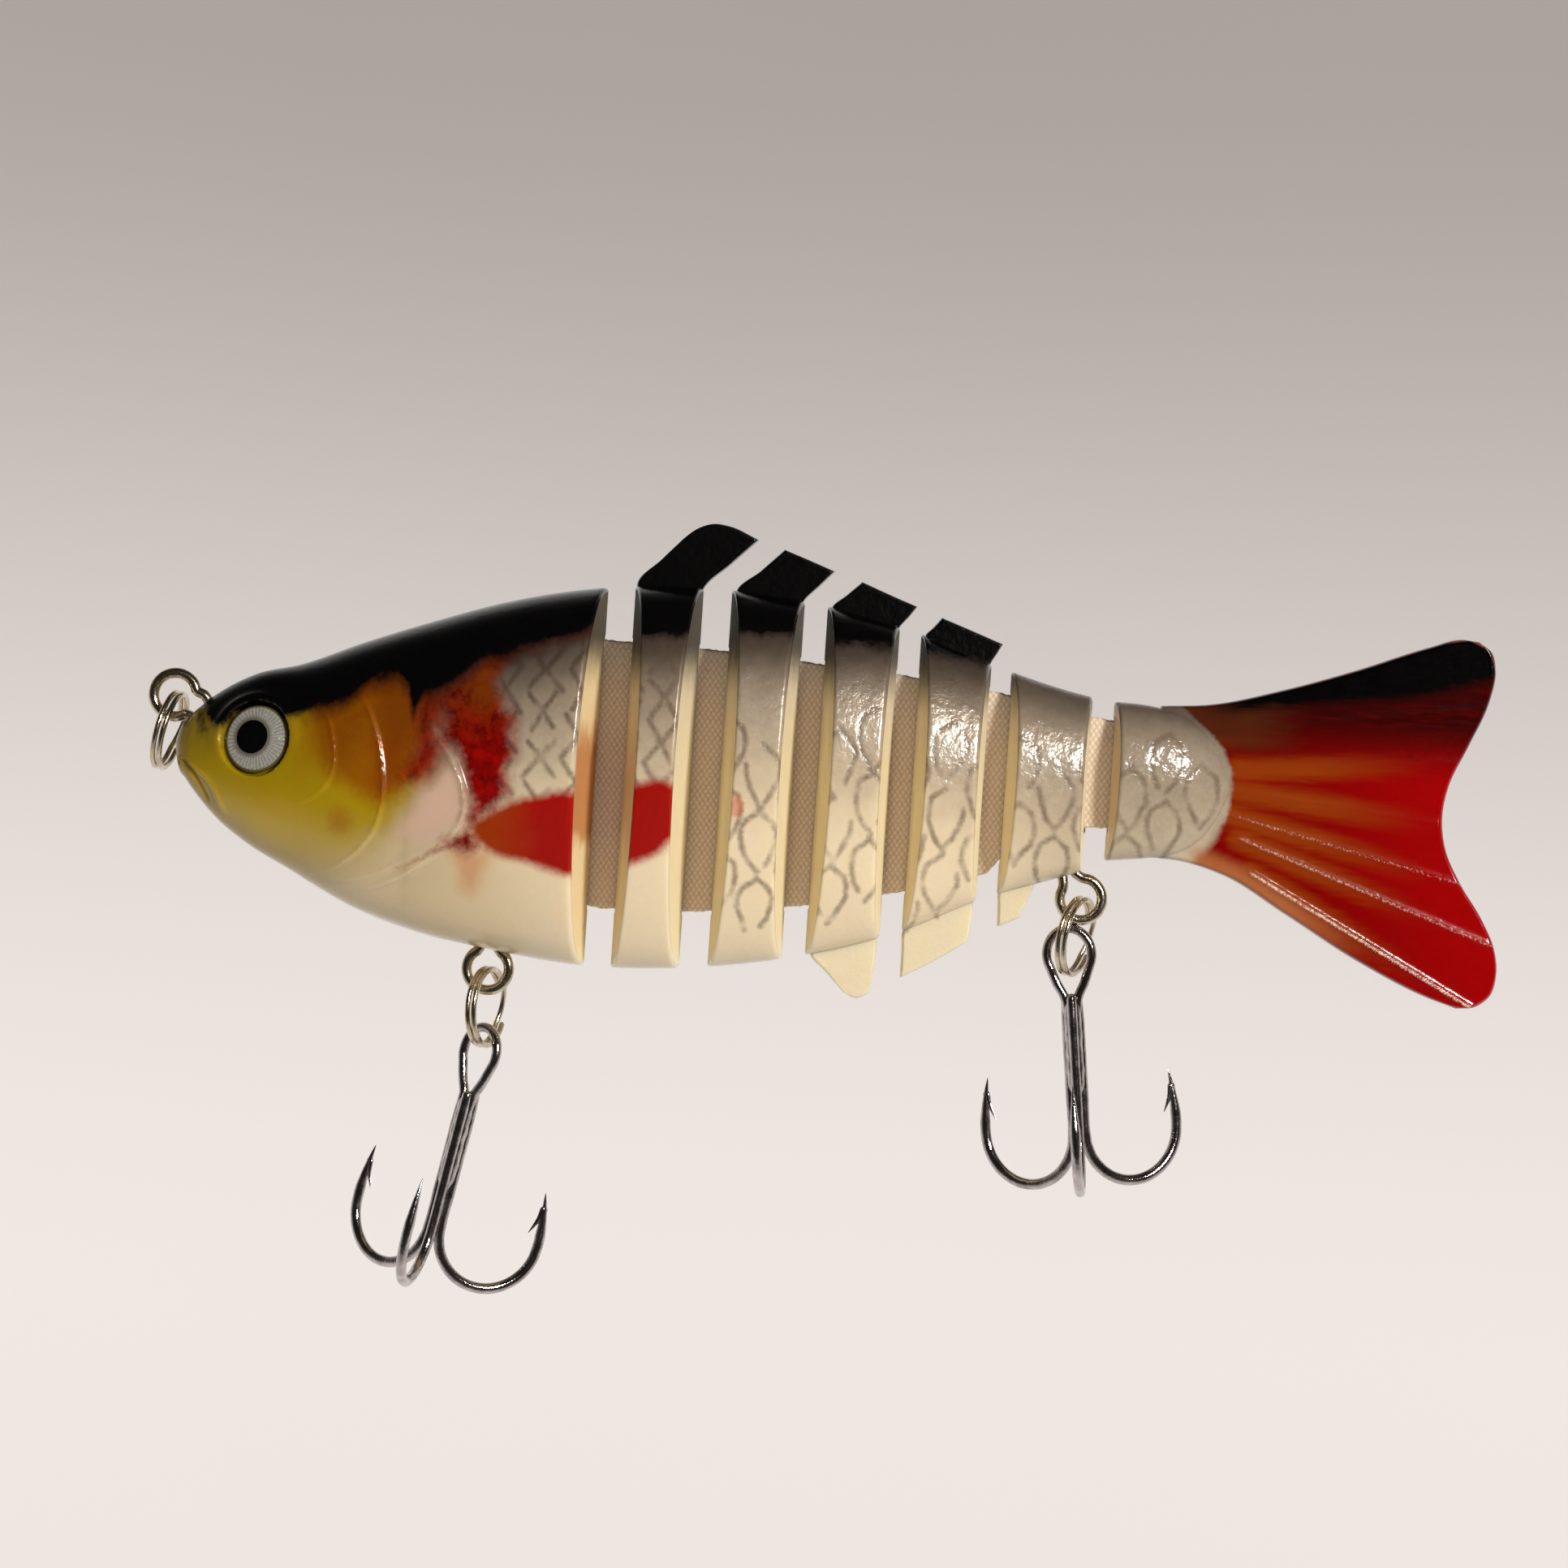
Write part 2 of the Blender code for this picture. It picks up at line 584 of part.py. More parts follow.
# ---- assembly ----
def build():
    pearl = new_material("pearl_plastic", (0.62, 0.55, 0.42), 0.25)
    olive = new_material("head_plastic", (0.35, 0.26, 0.05), 0.25)
    red = new_material("tail_plastic", (0.30, 0.01, 0.01), 0.3)
    weave = new_material("woven_strip", (0.42, 0.33, 0.22), 0.85)
    nickel = new_material("nickel_wire", (0.55, 0.52, 0.46), 0.25, 1.0)
    dark = new_material("black_nickel", (0.14, 0.13, 0.13), 0.2, 1.0)
    foil = new_material("eye_foil", (0.75, 0.75, 0.72), 0.3, 0.6)
    lens = new_material("eye_lens", (0.9, 0.9, 0.9), 0.05)
    lead = new_material("lead", (0.25, 0.25, 0.27), 0.6, 1.0)

    for side in (-1, 1):
        head_half(side, olive)
        tail_half(side, red)
        for hinge_x, (name, ends) in zip(HINGES_X, SEGMENTS.items()):
            shell = segment_half(name, ends, side, hinge_x, pearl)
            if name == "segment_6":
                path = hanger_path(REAR_HANGER, REAR_HANGER_LEAN)
                cut_channel(shell, shell.name + "_channel", path, HANGER_WIRE)

    bounds = [STRIP_KNOTS[0, 0], *HINGES_X, STRIP_KNOTS[-1, 0]]
    labels = ["head", "2", "3", "4", "5", "6", "tail"]
    middles = [sum(ends) / 2 for ends in SEGMENTS.values()]
    pegs = [HEAD_PEGS[1:], *[segment_pegs(x) for x in middles], TAIL_PEGS]
    for i, label in enumerate(labels):
        x0 = bounds[i] + (BODY_GAP if i else 0.0)
        x1 = bounds[i + 1] - (BODY_GAP if i < len(labels) - 1 else 0.0)
        strip_piece(f"hinge_strip_{label}", x0, x1, pegs[i], weave, bounds[i])

    # the rear hanger turns with segment 6, so its origin is on that segment's hinge
    wires = {
        "line_tie_wire": (tie_path(), TIE_WIRE, 0.0),
        "belly_hanger_wire": (hanger_path(BELLY_HANGER, 0.0), HANGER_WIRE, 0.0),
        "rear_hanger_wire": (hanger_path(REAR_HANGER, REAR_HANGER_LEAN), HANGER_WIRE,
                             HINGES_X[list(SEGMENTS).index("segment_6")]),
    }
    for name, (path, radius, hinge_x) in wires.items():
        new_object(name, wire_mesh(name, path, radius), nickel, (hinge_x, 0.0, 0.0))
    for name, (top, lean, turn) in RINGS.items():
        mesh = wire_mesh(name, ring_path(top, lean, turn), RING_WIRE)
        new_object(name, mesh, nickel, (top[0], 0.0, top[1]))
    for name, place in HOOKS.items():
        ring_top, ring_lean, _ = RINGS[name.replace("treble_hook", "split_ring")]
        treble(name, place, ring_bottom(ring_top, ring_lean), dark)

    x0, x1, z, radius = BALLAST
    new_object("head_ballast", cylinder("head_ballast", (x0, 0, z), (x1, 0, z), radius, 16), lead)
    for side, label in ((-1, "left"), (1, "right")):
        centre, normal = eye_frame(side)
        disc = ((0.0, 0.35), (EYE_RADIUS, 0.35), (EYE_RADIUS, 0.0), (0.0, 0.0))
        turned(f"eye_disc_{label}", disc, centre - normal * 0.8, normal, foil)
        dome = ((0.0, 0.95), (1.0, 0.85), (1.8, 0.6), (2.35, 0.25), (2.45, 0.0), (0.0, 0.0))
        turned(f"eye_dome_{label}", dome, centre - normal * 0.15, normal, lens)


build()
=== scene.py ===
import math

import bmesh
import bpy
import numpy as np
from mathutils import Matrix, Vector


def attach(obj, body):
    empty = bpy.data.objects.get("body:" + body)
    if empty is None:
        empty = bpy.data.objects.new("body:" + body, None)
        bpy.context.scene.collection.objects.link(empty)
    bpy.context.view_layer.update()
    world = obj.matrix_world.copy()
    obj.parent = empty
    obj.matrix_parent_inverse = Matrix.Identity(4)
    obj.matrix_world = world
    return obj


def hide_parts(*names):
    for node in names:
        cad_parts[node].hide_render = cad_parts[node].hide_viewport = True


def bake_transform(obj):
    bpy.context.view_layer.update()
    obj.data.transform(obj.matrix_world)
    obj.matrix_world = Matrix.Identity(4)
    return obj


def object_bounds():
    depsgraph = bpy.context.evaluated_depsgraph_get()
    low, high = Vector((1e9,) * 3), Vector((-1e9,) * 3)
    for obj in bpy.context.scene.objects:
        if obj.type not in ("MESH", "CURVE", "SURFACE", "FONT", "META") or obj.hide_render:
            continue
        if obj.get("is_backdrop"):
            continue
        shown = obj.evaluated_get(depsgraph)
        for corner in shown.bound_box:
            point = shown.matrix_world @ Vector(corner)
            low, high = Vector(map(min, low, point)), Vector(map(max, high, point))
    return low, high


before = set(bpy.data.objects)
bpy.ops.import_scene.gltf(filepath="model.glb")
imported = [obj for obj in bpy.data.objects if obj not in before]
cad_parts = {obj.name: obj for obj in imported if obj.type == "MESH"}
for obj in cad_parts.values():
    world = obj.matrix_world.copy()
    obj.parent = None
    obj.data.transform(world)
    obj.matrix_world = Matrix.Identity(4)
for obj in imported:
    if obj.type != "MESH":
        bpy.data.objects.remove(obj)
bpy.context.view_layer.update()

mm = 0.001                 # every shape below is worked out in millimetres
bodyGap = 0.15             # each half stops this far from the middle plane
weldSteps = 5000           # steps per millimetre to which points are rounded to be welded
faceSlope = math.tan(math.radians(8.5))

# X, top Z, bottom Z and half width of the body
bodyKnots = np.array([
    (0.32, -3.30, -4.10, 0.35),
    (0.60, -2.45, -5.35, 1.00),
    (1.20, -1.60, -6.25, 1.65),
    (2.20, -0.55, -7.50, 2.25),
    (3.70, 0.65, -9.05, 3.00),
    (6.00, 1.95, -10.75, 3.95),
    (9.50, 2.95, -12.60, 5.10),
    (14.0, 4.85, -14.95, 6.50),
    (19.0, 6.75, -16.60, 7.45),
    (25.0, 8.75, -17.65, 8.10),
    (32.2, 10.25, -18.40, 8.30),
    (40.4, 10.70, -18.00, 7.90),
    (48.0, 10.05, -16.70, 7.05),
    (55.2, 8.55, -14.55, 6.00),
    (62.2, 6.15, -11.30, 4.90),
    (69.3, 4.40, -8.80, 3.90),
    (72.0, 4.05, -7.70, 3.50),
])
bulgeKnots = np.array([
    (70.0, 4.20, -8.00, 3.65),
    (74.0, 4.00, -7.50, 3.20),
    (76.5, 3.40, -7.05, 2.80),
    (78.3, 1.90, -5.70, 2.20),
    (79.4, 0.10, -3.90, 1.60),
    (79.9, -1.00, -2.60, 1.15),
])
# X, top Z and bottom Z of the woven strip
stripKnots = np.array([
    (26.6, 6.4, -13.2),
    (33.2, 6.3, -14.0),
    (40.4, 6.1, -13.8),
    (47.9, 5.6, -12.9),
    (55.2, 5.1, -11.4),
    (62.2, 4.3, -9.4),
    (65.2, 3.7, -5.5),
    (69.4, 2.9, -5.5),
    (76.2, 2.2, -5.2),
])


# curves and distances

def cubicBetween(knots, slopes, i, t, span):
    # a + (b - a)(3t² - 2t³) + span((t³ - 2t² + t)m0 + (t³ - t²)m1) from knot i to the next, m0
    # and m1 being the slopes at the two
    rise = knots[i + 1] - knots[i]
    bend = (t**3 - 2 * t**2 + t) * slopes[i] + (t**3 - t**2) * slopes[i + 1]
    return knots[i] + rise * (3 * t**2 - 2 * t**3) + span * bend


def smoothCurve(points, count):
    # the cubic by length, with the slope of the chords beside each point
    knots = np.asarray(points, float)
    lengths = np.linalg.norm(np.diff(knots, axis=0), axis=1)
    station = np.concatenate([[0.0], np.cumsum(lengths)])
    slopes = np.gradient(knots, station, axis=0)
    s = np.linspace(0.0, station[-1], count)
    i = np.clip(np.searchsorted(station, s, side="right") - 1, 0, len(lengths) - 1)
    span = lengths[i][:, None]
    return cubicBetween(knots, slopes, i, (s[:, None] - station[i][:, None]) / span, span)


def smoothLoop(points, count):
    # the same cubic round a closed outline: two points repeated past each end give the slope
    # where it joins
    knots = np.asarray(points, float)
    doubled = np.concatenate([knots[-2:], knots, knots[:2]])
    lengths = np.linalg.norm(np.diff(doubled, axis=0), axis=1)
    start = lengths[:2].sum() / lengths.sum()
    end = 1.0 - lengths[-1] / lengths.sum()
    dense = smoothCurve(doubled, count * 4)
    return dense[int(start * (count * 4 - 1)):int(end * (count * 4 - 1)):4]


def readKnots(knots, x):
    # the columns after the first, on the same cubic with X as its parameter
    xs, values = knots[:, 0], knots[:, 1:]
    i = np.clip(np.searchsorted(xs, x) - 1, 0, len(xs) - 2)
    span = (xs[i + 1] - xs[i])[..., None]
    t = np.clip((x - xs[i])[..., None] / span, 0.0, 1.0)
    found = cubicBetween(values, np.gradient(values, xs, axis=0), i, t, span)
    return np.moveaxis(found, -1, 0)


def fade(low, high, value):
    # 3t² - 2t³ with t running from 0 at low to 1 at high
    t = np.clip((value - low) / (high - low), 0.0, 1.0)
    return t * t * (3.0 - 2.0 * t)


def sideDistances(x, z, first, second):
    # distance from each point to the side from first to second, how far along the side its foot
    # lies, and the cross product that tells its two sides apart
    along = second - first
    px, pz = x - first[0], z - first[1]
    foot = np.clip((px * along[0] + pz * along[1]) / (along @ along), 0.0, 1.0)
    away = np.hypot(px - foot * along[0], pz - foot * along[1])
    turn = along[0] * pz - along[1] * px
    return away, foot, turn


def outlineDistance(x, z, outline):
    # length to the nearest side of a closed outline, positive inside it by the crossing rule
    loop = smoothLoop(outline, 60)
    nearest = np.full(x.shape, 1e9)
    inside = np.zeros(x.shape, bool)
    for first, second in zip(loop, np.roll(loop, -1, axis=0)):
        away, _, _ = sideDistances(x, z, first, second)
        nearest = np.minimum(nearest, away)
        if first[1] != second[1]:
            crossing = first[0] + (second[0] - first[0]) * (z - first[1]) / (second[1] - first[1])
            inside ^= ((first[1] > z) != (second[1] > z)) & (x < crossing)
    return np.where(inside, nearest, -nearest)


def curveDistance(x, z, points):
    # length to the nearest side of an open curve, its sign by the side it lies on, and how far
    # along the curve, from 0 to 1, the nearest place is
    path = smoothCurve(points, 48)
    nearest = np.full(x.shape, 1e9)
    signed = np.zeros(x.shape)
    share = np.zeros(x.shape)
    for i, (first, second) in enumerate(zip(path, path[1:])):
        away, foot, turn = sideDistances(x, z, first, second)
        closer = away < nearest
        nearest = np.where(closer, away, nearest)
        signed = np.where(closer, np.sign(turn) * away, signed)
        share = np.where(closer, (i + foot) / (len(path) - 1), share)
    return signed, share


# meshes

class Skin:
    # gathers grids of points and their values, and writes them as one closed, welded mesh
    def __init__(self):
        self.points = []
        self.faces = []
        self.values = []
        self.count = 0

    def addGrid(self, grid, values=None):
        # joins neighbours of a grid of points (rows, columns, 3) with four-sided faces
        rows, columns = grid.shape[:2]
        index = self.count + np.arange(rows * columns).reshape(rows, columns)
        corners = (index[:-1, :-1], index[1:, :-1], index[1:, 1:], index[:-1, 1:])
        self.faces.append(np.stack(corners, axis=-1).reshape(-1, 4))
        self.points.append(grid.reshape(-1, 3))
        flat = np.zeros(rows * columns) if values is None else np.broadcast_to(
            values, (rows, columns)).ravel()
        self.values.append(flat)
        self.count += rows * columns

    def write(self, name, fields=None, sharpDegrees=38.0, uv=None):
        points = np.concatenate(self.points)
        faces = np.concatenate(self.faces)
        values = np.concatenate(self.values)
        _, first, merged = np.unique(np.round(points * weldSteps).astype(np.int64), axis=0,
                                     return_index=True, return_inverse=True)
        points, values = points[first], values[first]
        faces = merged.reshape(-1)[faces]
        same = faces == np.roll(faces, -1, axis=1)
        repeats = same.sum(axis=1)
        opposite = (faces[:, 0] == faces[:, 2]) | (faces[:, 1] == faces[:, 3])
        quads = faces[(repeats == 0) & ~opposite]
        folded = repeats == 1
        triangles = faces[folded][~same[folded]].reshape(-1, 3)
        mesh = bpy.data.meshes.new(name)
        mesh.vertices.add(len(points))
        mesh.vertices.foreach_set("co", (points * mm).ravel())
        mesh.loops.add(quads.size + triangles.size)
        corners = np.concatenate([quads.ravel(), triangles.ravel()])
        mesh.loops.foreach_set("vertex_index", corners.astype(np.int32))
        starts = np.concatenate([np.arange(len(quads)) * 4,
                                 quads.size + np.arange(len(triangles)) * 3])
        mesh.polygons.add(len(starts))
        mesh.polygons.foreach_set("loop_start", starts.astype(np.int32))
        mesh.update(calc_edges=True)
        mesh.validate()
        bm = bmesh.new()
        bm.from_mesh(mesh)
        bmesh.ops.recalc_face_normals(bm, faces=bm.faces)
        if bm.calc_volume(signed=True) < 0:
            bmesh.ops.reverse_faces(bm, faces=bm.faces)
        bm.to_mesh(mesh)
        bm.free()
        stored = {"inner": values}
        if fields is not None:
            stored.update(fields(points))
        for label, field in stored.items():
            attribute = mesh.attributes.new(label, "FLOAT", "POINT")
            attribute.data.foreach_set("value", np.ascontiguousarray(field, np.float32))
        if uv is not None:
            at = np.empty(len(mesh.loops), np.int32)
            mesh.loops.foreach_get("vertex_index", at)
            layer = mesh.uv_layers.new(name="UVMap")
            layer.data.foreach_set("uv", uv(points)[at].astype(np.float32).ravel())
        mesh.shade_smooth()
        mesh.set_sharp_from_angle(angle=math.radians(sharpDegrees))
        piece = bpy.data.objects.new(name, mesh)
        bpy.context.scene.collection.objects.link(piece)
        return piece


def fit(piece, finish, nodes, body=None):
    piece.data.materials.append(finish)
    if body is not None:
        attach(piece, body)
    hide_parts(*nodes)
    return piece


# shader maths

class Signal:
    # one output of a node; an expression on it adds the Math nodes it needs
    def __init__(self, finish, socket):
        self.finish = finish
        self.socket = socket

    def maths(self, operation, *values):
        return self.finish.node("Math", {"operation": operation}, dict(enumerate(values)))

    def __add__(self, other):
        return self.maths("ADD", self, other)

    __radd__ = __add__

    def __sub__(self, other):
        return self.maths("SUBTRACT", self, other)

    def __rsub__(self, other):
        return self.maths("SUBTRACT", other, self)

    def __mul__(self, other):
        return self.maths("MULTIPLY", self, other)

    __rmul__ = __mul__

    def __truediv__(self, other):
        return self.maths("DIVIDE", self, other)

    def __pow__(self, other):
        return self.maths("POWER", self, other)

    def most(self, other):
        return self.maths("MAXIMUM", self, other)

    def rise(self, low, high):
        # 0 below low, 1 above high, and 3t² - 2t³ between
        return self.finish.node("MapRange", {"interpolation_type": "SMOOTHSTEP"},
                                {"Value": self, "From Min": low, "From Max": high}, "Result")

    def wrap(self, period):
        # distance to the nearest whole number of periods
        return self.maths("PINGPONG", self, period / 2)


def tint(red, green, blue):
    # a colour of 0 to 255 as the linear values that shaders take
    share = np.array([red, green, blue]) / 255
    linear = np.where(share <= 0.04045, share / 12.92, ((share + 0.055) / 1.055) ** 2.4)
    return (*linear, 1.0)


class Finish:
    # a material while it is built: its tree and the shader at the end of it
    def __init__(self, name, **fixed):
        self.material = bpy.data.materials.new(name)
        self.material.use_nodes = True
        self.tree = self.material.node_tree
        self.shader = self.tree.nodes["Principled BSDF"]
        for label, value in fixed.items():
            self.shader.inputs[label.replace("_", " ")].default_value = value

    def node(self, kind, settings=None, inputs=None, output=0):
        made = self.tree.nodes.new("ShaderNode" + kind)
        for label, value in (settings or {}).items():
            setattr(made, label, value)
        for label, value in (inputs or {}).items():
            if isinstance(value, Signal):
                self.tree.links.new(value.socket, made.inputs[label])
            else:
                made.inputs[label].default_value = value
        return Signal(self, made.outputs[output])

    def feed(self, label, signal):
        self.tree.links.new(signal.socket, self.shader.inputs[label])

    def mix(self, share, first, second):
        return self.node("Mix", {"data_type": "RGBA"}, {0: share, 6: first, 7: second}, 2)

    def coats(self, colour, *layers):
        # coats of flat colour over one another, each with its own share
        for share, shade in layers:
            colour = self.mix(share, colour, tint(*shade))
        return colour

    def place(self):
        # rest position in millimetres
        at = self.node("TexCoord", output="Object")
        return self.node("VectorMath", {"operation": "SCALE"}, {0: at, "Scale": 1 / mm})

    def axes(self, vector):
        split = self.node("SeparateXYZ", None, {0: vector})
        outputs = split.socket.node.outputs
        return [Signal(self, outputs[i]) for i in range(3)]

    def stretched(self, vector, x, y, z):
        return self.node("VectorMath", {"operation": "MULTIPLY"}, {0: vector, 1: (x, y, z)})

    def noise(self, vector, scale, detail=3.0, roughness=0.55):
        # about -1 to 1
        found = self.node("TexNoise", None, {"Vector": vector, "Scale": scale, "Detail": detail,
                                             "Roughness": roughness}, "Fac")
        return (found - 0.5) * 2.6

    def field(self, name):
        return self.node("Attribute", {"attribute_name": name}, None, "Fac")

    def bump(self, height, depth, strength=1.0):
        # height 1 stands depth millimetres proud
        self.feed("Normal", self.node("Bump", None, {"Height": height, "Distance": depth * mm,
                                                     "Strength": strength}))


print("tools ready")

# paint on the shells: outlines in X and Z
paint = {
    "back": [(-2, 0.0), (2.8, -0.7), (5.2, -1.2), (8.3, -1.3), (11.3, -0.4), (13.7, 0.8),
             (15.4, 2.1), (17.3, 2.6), (18.2, 1.9), (18.7, -0.2), (19.3, 1.5), (20.1, 1.7),
             (21.9, 2.6), (23.6, 4.3), (25.7, 5.0), (28.1, 5.9), (30.5, 6.8), (32.3, 7.4),
             (35.5, 6.7), (39.1, 7.0), (42.2, 7.5), (47.1, 7.6), (49.6, 7.1), (54.5, 7.3),
             (57.0, 6.9), (61.4, 6.5), (63.2, 6.9), (69.5, 5.6), (71.0, 5.2), (80.0, 4.6)],
    "olive": [(-0.9, -3.1), (2.8, 0.6), (7.0, 0.4), (13.1, 1.4), (18.6, 2.6), (20.3, -4.0),
              (18.6, -8.2), (15.0, -11.3), (10.8, -12.6), (6.1, -10.5), (1.9, -7.8)],
    "cheek": [(10.7, 0.4), (15.4, 3.2), (17.5, 3.5), (18.9, -0.2), (18.8, -4.9), (16.9, -7.4),
              (14.1, -6.1), (12.2, -4.4), (11.2, -2.3)],
    "redFront": [(18.7, 1.2), (19.3, 2), (20.3, 1.9), (21.2, 0.9), (20.9, -0.5), (20.6, -1.7),
                 (21.1, -2.5), (21, -3.8), (20.3, -4.8), (19.2, -5.6), (18, -5.5), (18.3, -4.4),
                 (18.9, -3.4), (19, -2), (18.6, -0.7)],
    "redRear": [(20.8, 0.9), (21.1, 2), (22.2, 2.8), (23.3, 3.8), (24.4, 4.6), (25.2, 4.4),
                (25, 3.6), (24.7, 2.6), (25, 1.6), (25.6, 0.5), (26.3, -0), (26.2, -1.4),
                (26.6, -2.7), (26.1, -4.1), (26.0, -5.4), (25.6, -6.4), (25.2, -7.2), (24.3, -8),
                (23.5, -8.8), (24.1, -9.9), (23.6, -10.2), (22.5, -10.1), (21.7, -9.7),
                (22.8, -8.9), (23.2, -7.7), (23.2, -6.2), (22.7, -4.3), (21.9, -2.8), (21, -1.9),
                (21.2, -0.5)],
    "orangeTop": [(22.7, 2.8), (24, 3.9), (24.5, 2.4), (24.6, 1), (23.9, 0.4), (23.1, 1.1)],
    "orangeGill": [(15.7, 2), (17, 2.2), (18.1, 1), (18.6, -0.7), (18.7, -2.4), (18.2, -4),
                   (17.5, -5.4), (16.6, -6.2), (16.1, -4.7), (16.4, -2.4), (16, -0.1)],
    "pinkGill": [(19.7, -5.6), (20.8, -5), (21.3, -4.2), (22.1, -4.3), (22.7, -5.4), (22.9, -7),
                 (22.5, -8.1), (21.6, -9), (20.5, -9.4), (19.2, -9.7), (18, -9.6), (18.3, -8.4),
                 (19.2, -7.2)],
    "band": [(23.5, -8.5), (25.3, -6.9), (28.9, -5.7), (33.8, -4.9), (38.3, -4.3), (39.3, -5.3),
             (39.2, -7.2), (37.8, -9.1), (34.8, -10.7), (31.8, -11.6), (28.0, -10.8),
             (24.9, -10.0)],
    "crescent": [(17.8, -11.8), (19.4, -11), (21.5, -9.8), (22.9, -8.8), (23.9, -9),
                 (23.2, -9.6), (21.5, -10.4), (19.7, -11.4)],
    "under": [(22.3, -10.5), (23.8, -9.9), (25, -10.3), (24.7, -11.9), (24, -13.4),
              (23.2, -13.3), (22.7, -12)],
    "brow": [(2.6, -0.8), (3.3, 0.9), (5.0, 1.9), (7.2, 2.2), (8.5, 0.8), (8.5, -1.0),
             (7.6, -0.8), (6.5, -0.2), (5.3, -0.4), (4.6, -1.5), (3.5, -1.9)],
}
headFields = ("olive", "cheek", "redFront", "redRear", "orangeTop", "orangeGill", "pinkGill",
              "crescent", "under", "brow")


# scale marks: crosses on the head and the first segment, then drops of two bowed legs
scaleMarks = {
    "seed": 11, "reach": 1.5,
    "crosses": [25.5, 28.3, 31.1, 34.6, 37.1, 39.8], "crossStep": 3.3, "crossFrom": -4.6,
    "crossTo": 6.0, "arm": 1.95, "armDegrees": 56, "dropFrom": 42.0, "dropTo": 79.0,
    "dropStep": 2.75, "dropTall": 5.0, "dropWide": 1.3,
    "dropTop": ((42.0, 50.0, 64.0, 78.0), (1.0, 3.0, 1.0, 2.2)),
    "dropEnd": ((42.0, 56.0, 64.0, 78.0), (-12.0, -10.4, -8.0, -5.0)),
}


def makeScaleMarks():
    # a cross is two short lines through one point; a drop leg is a quarter wave from its point
    # at the top out to its side and back, each shifted and shortened a little by chance
    spec, chance, marks = scaleMarks, np.random.default_rng(scaleMarks["seed"]), []
    for column, x in enumerate(spec["crosses"]):
        start = spec["crossFrom"] - spec["crossStep"] / 2 * (column % 2)
        rows = np.arange(start, spec["crossTo"], spec["crossStep"])
        for z in rows:
            for lean in (-1, 1):
                reach = np.array([-1.0, 0.0, 1.0]) * spec["arm"] * chance.uniform(0.7, 1.1, 3)
                turn = math.radians(spec["armDegrees"] + chance.uniform(-7, 7))
                bow = np.array([0.0, chance.uniform(-0.12, 0.12), 0.0])
                marks.append(np.stack([x + lean * reach * math.cos(turn) + bow,
                                       z + reach * math.sin(turn) + bow], axis=1))
    share = np.linspace(0.0, 1.0, 7)
    for column, x in enumerate(np.arange(spec["dropFrom"], spec["dropTo"], spec["dropStep"])):
        low, high = np.interp(x, *spec["dropEnd"]), np.interp(x, *spec["dropTop"])
        for z in np.arange(high - spec["dropTall"] * 0.5 * (column % 2), low, -spec["dropTall"]):
            for lean in (-1, 1):
                out = spec["dropWide"] * np.sin(math.pi * share ** 0.75) ** 0.85
                down = share * spec["dropTall"] * chance.uniform(0.86, 1.0)
                cut = chance.integers(0, 2)
                jitter = chance.uniform(-0.1, 0.1, (2, 7))
                leg = np.stack([x + lean * out + jitter[0], z - down + jitter[1]], axis=1)
                marks.append(leg[:7 - cut] if chance.random() > 0.15 else leg[2:])
    return marks


allMarks = makeScaleMarks()


def markDistance(x, z):
    # the distance to the nearest mark, up to the reach
    reach = scaleMarks["reach"]
    closest = np.full(x.shape, reach)
    for mark in allMarks:
        low, high = mark.min(axis=0) - reach, mark.max(axis=0) + reach
        near = (x > low[0]) & (x < high[0]) & (z > low[1]) & (z < high[1])
        if near.any():
            for first, second in zip(mark[:-1], mark[1:]):
                away, _, _ = sideDistances(x[near], z[near], first, second)
                closest[near] = np.minimum(closest[near], away)
    return closest


def bodyPaint(points):
    # height over the edge of the dark back, and distances to the scale marks and the red band
    x, z = points[:, 0], points[:, 2]
    line = np.array(paint["back"])
    return {"back": z - np.interp(x, line[:, 0], line[:, 1]), "mark": markDistance(x, z),
            "band": outlineDistance(x, z, paint["band"])}


def headPaint(points):
    x, z = points[:, 0], points[:, 2]
    found = bodyPaint(points)
    for label in headFields:
        found[label] = outlineDistance(x, z, paint[label])
    return found


# the eye's place on each flank, and its own directions
eyeShape = {"x": 6.65, "z": -2.85, "radius": 2.55, "recess": 1.05, "rim": 2.86}


def flankDepth(x, z):
    top, bottom, half = readKnots(bodyKnots, np.array([x]))
    level = (z - (top + bottom) / 2) / ((top - bottom) / 2)
    return float((half * np.sqrt(1.0 - level**2))[0])


def unit(vector):
    vector = np.asarray(vector, float)
    return vector / np.linalg.norm(vector)


def eyeFrame(side):
    # the flank's point under the eye's centre, and the directions to the nose, up and out of it
    x, z, step = eyeShape["x"], eyeShape["z"], 1.5
    along = (flankDepth(x + step, z) - flankDepth(x - step, z)) / (2 * step)
    up = (flankDepth(x, z + step) - flankDepth(x, z - step)) / (2 * step)
    out = unit((-along, 1.0, -up))
    out[1] *= side
    forward = unit(np.array([-1.0, 0.0, 0.0]) + out * out[0])
    return np.array([x, side * flankDepth(x, z), z]), forward, np.cross(out, forward) * side, out


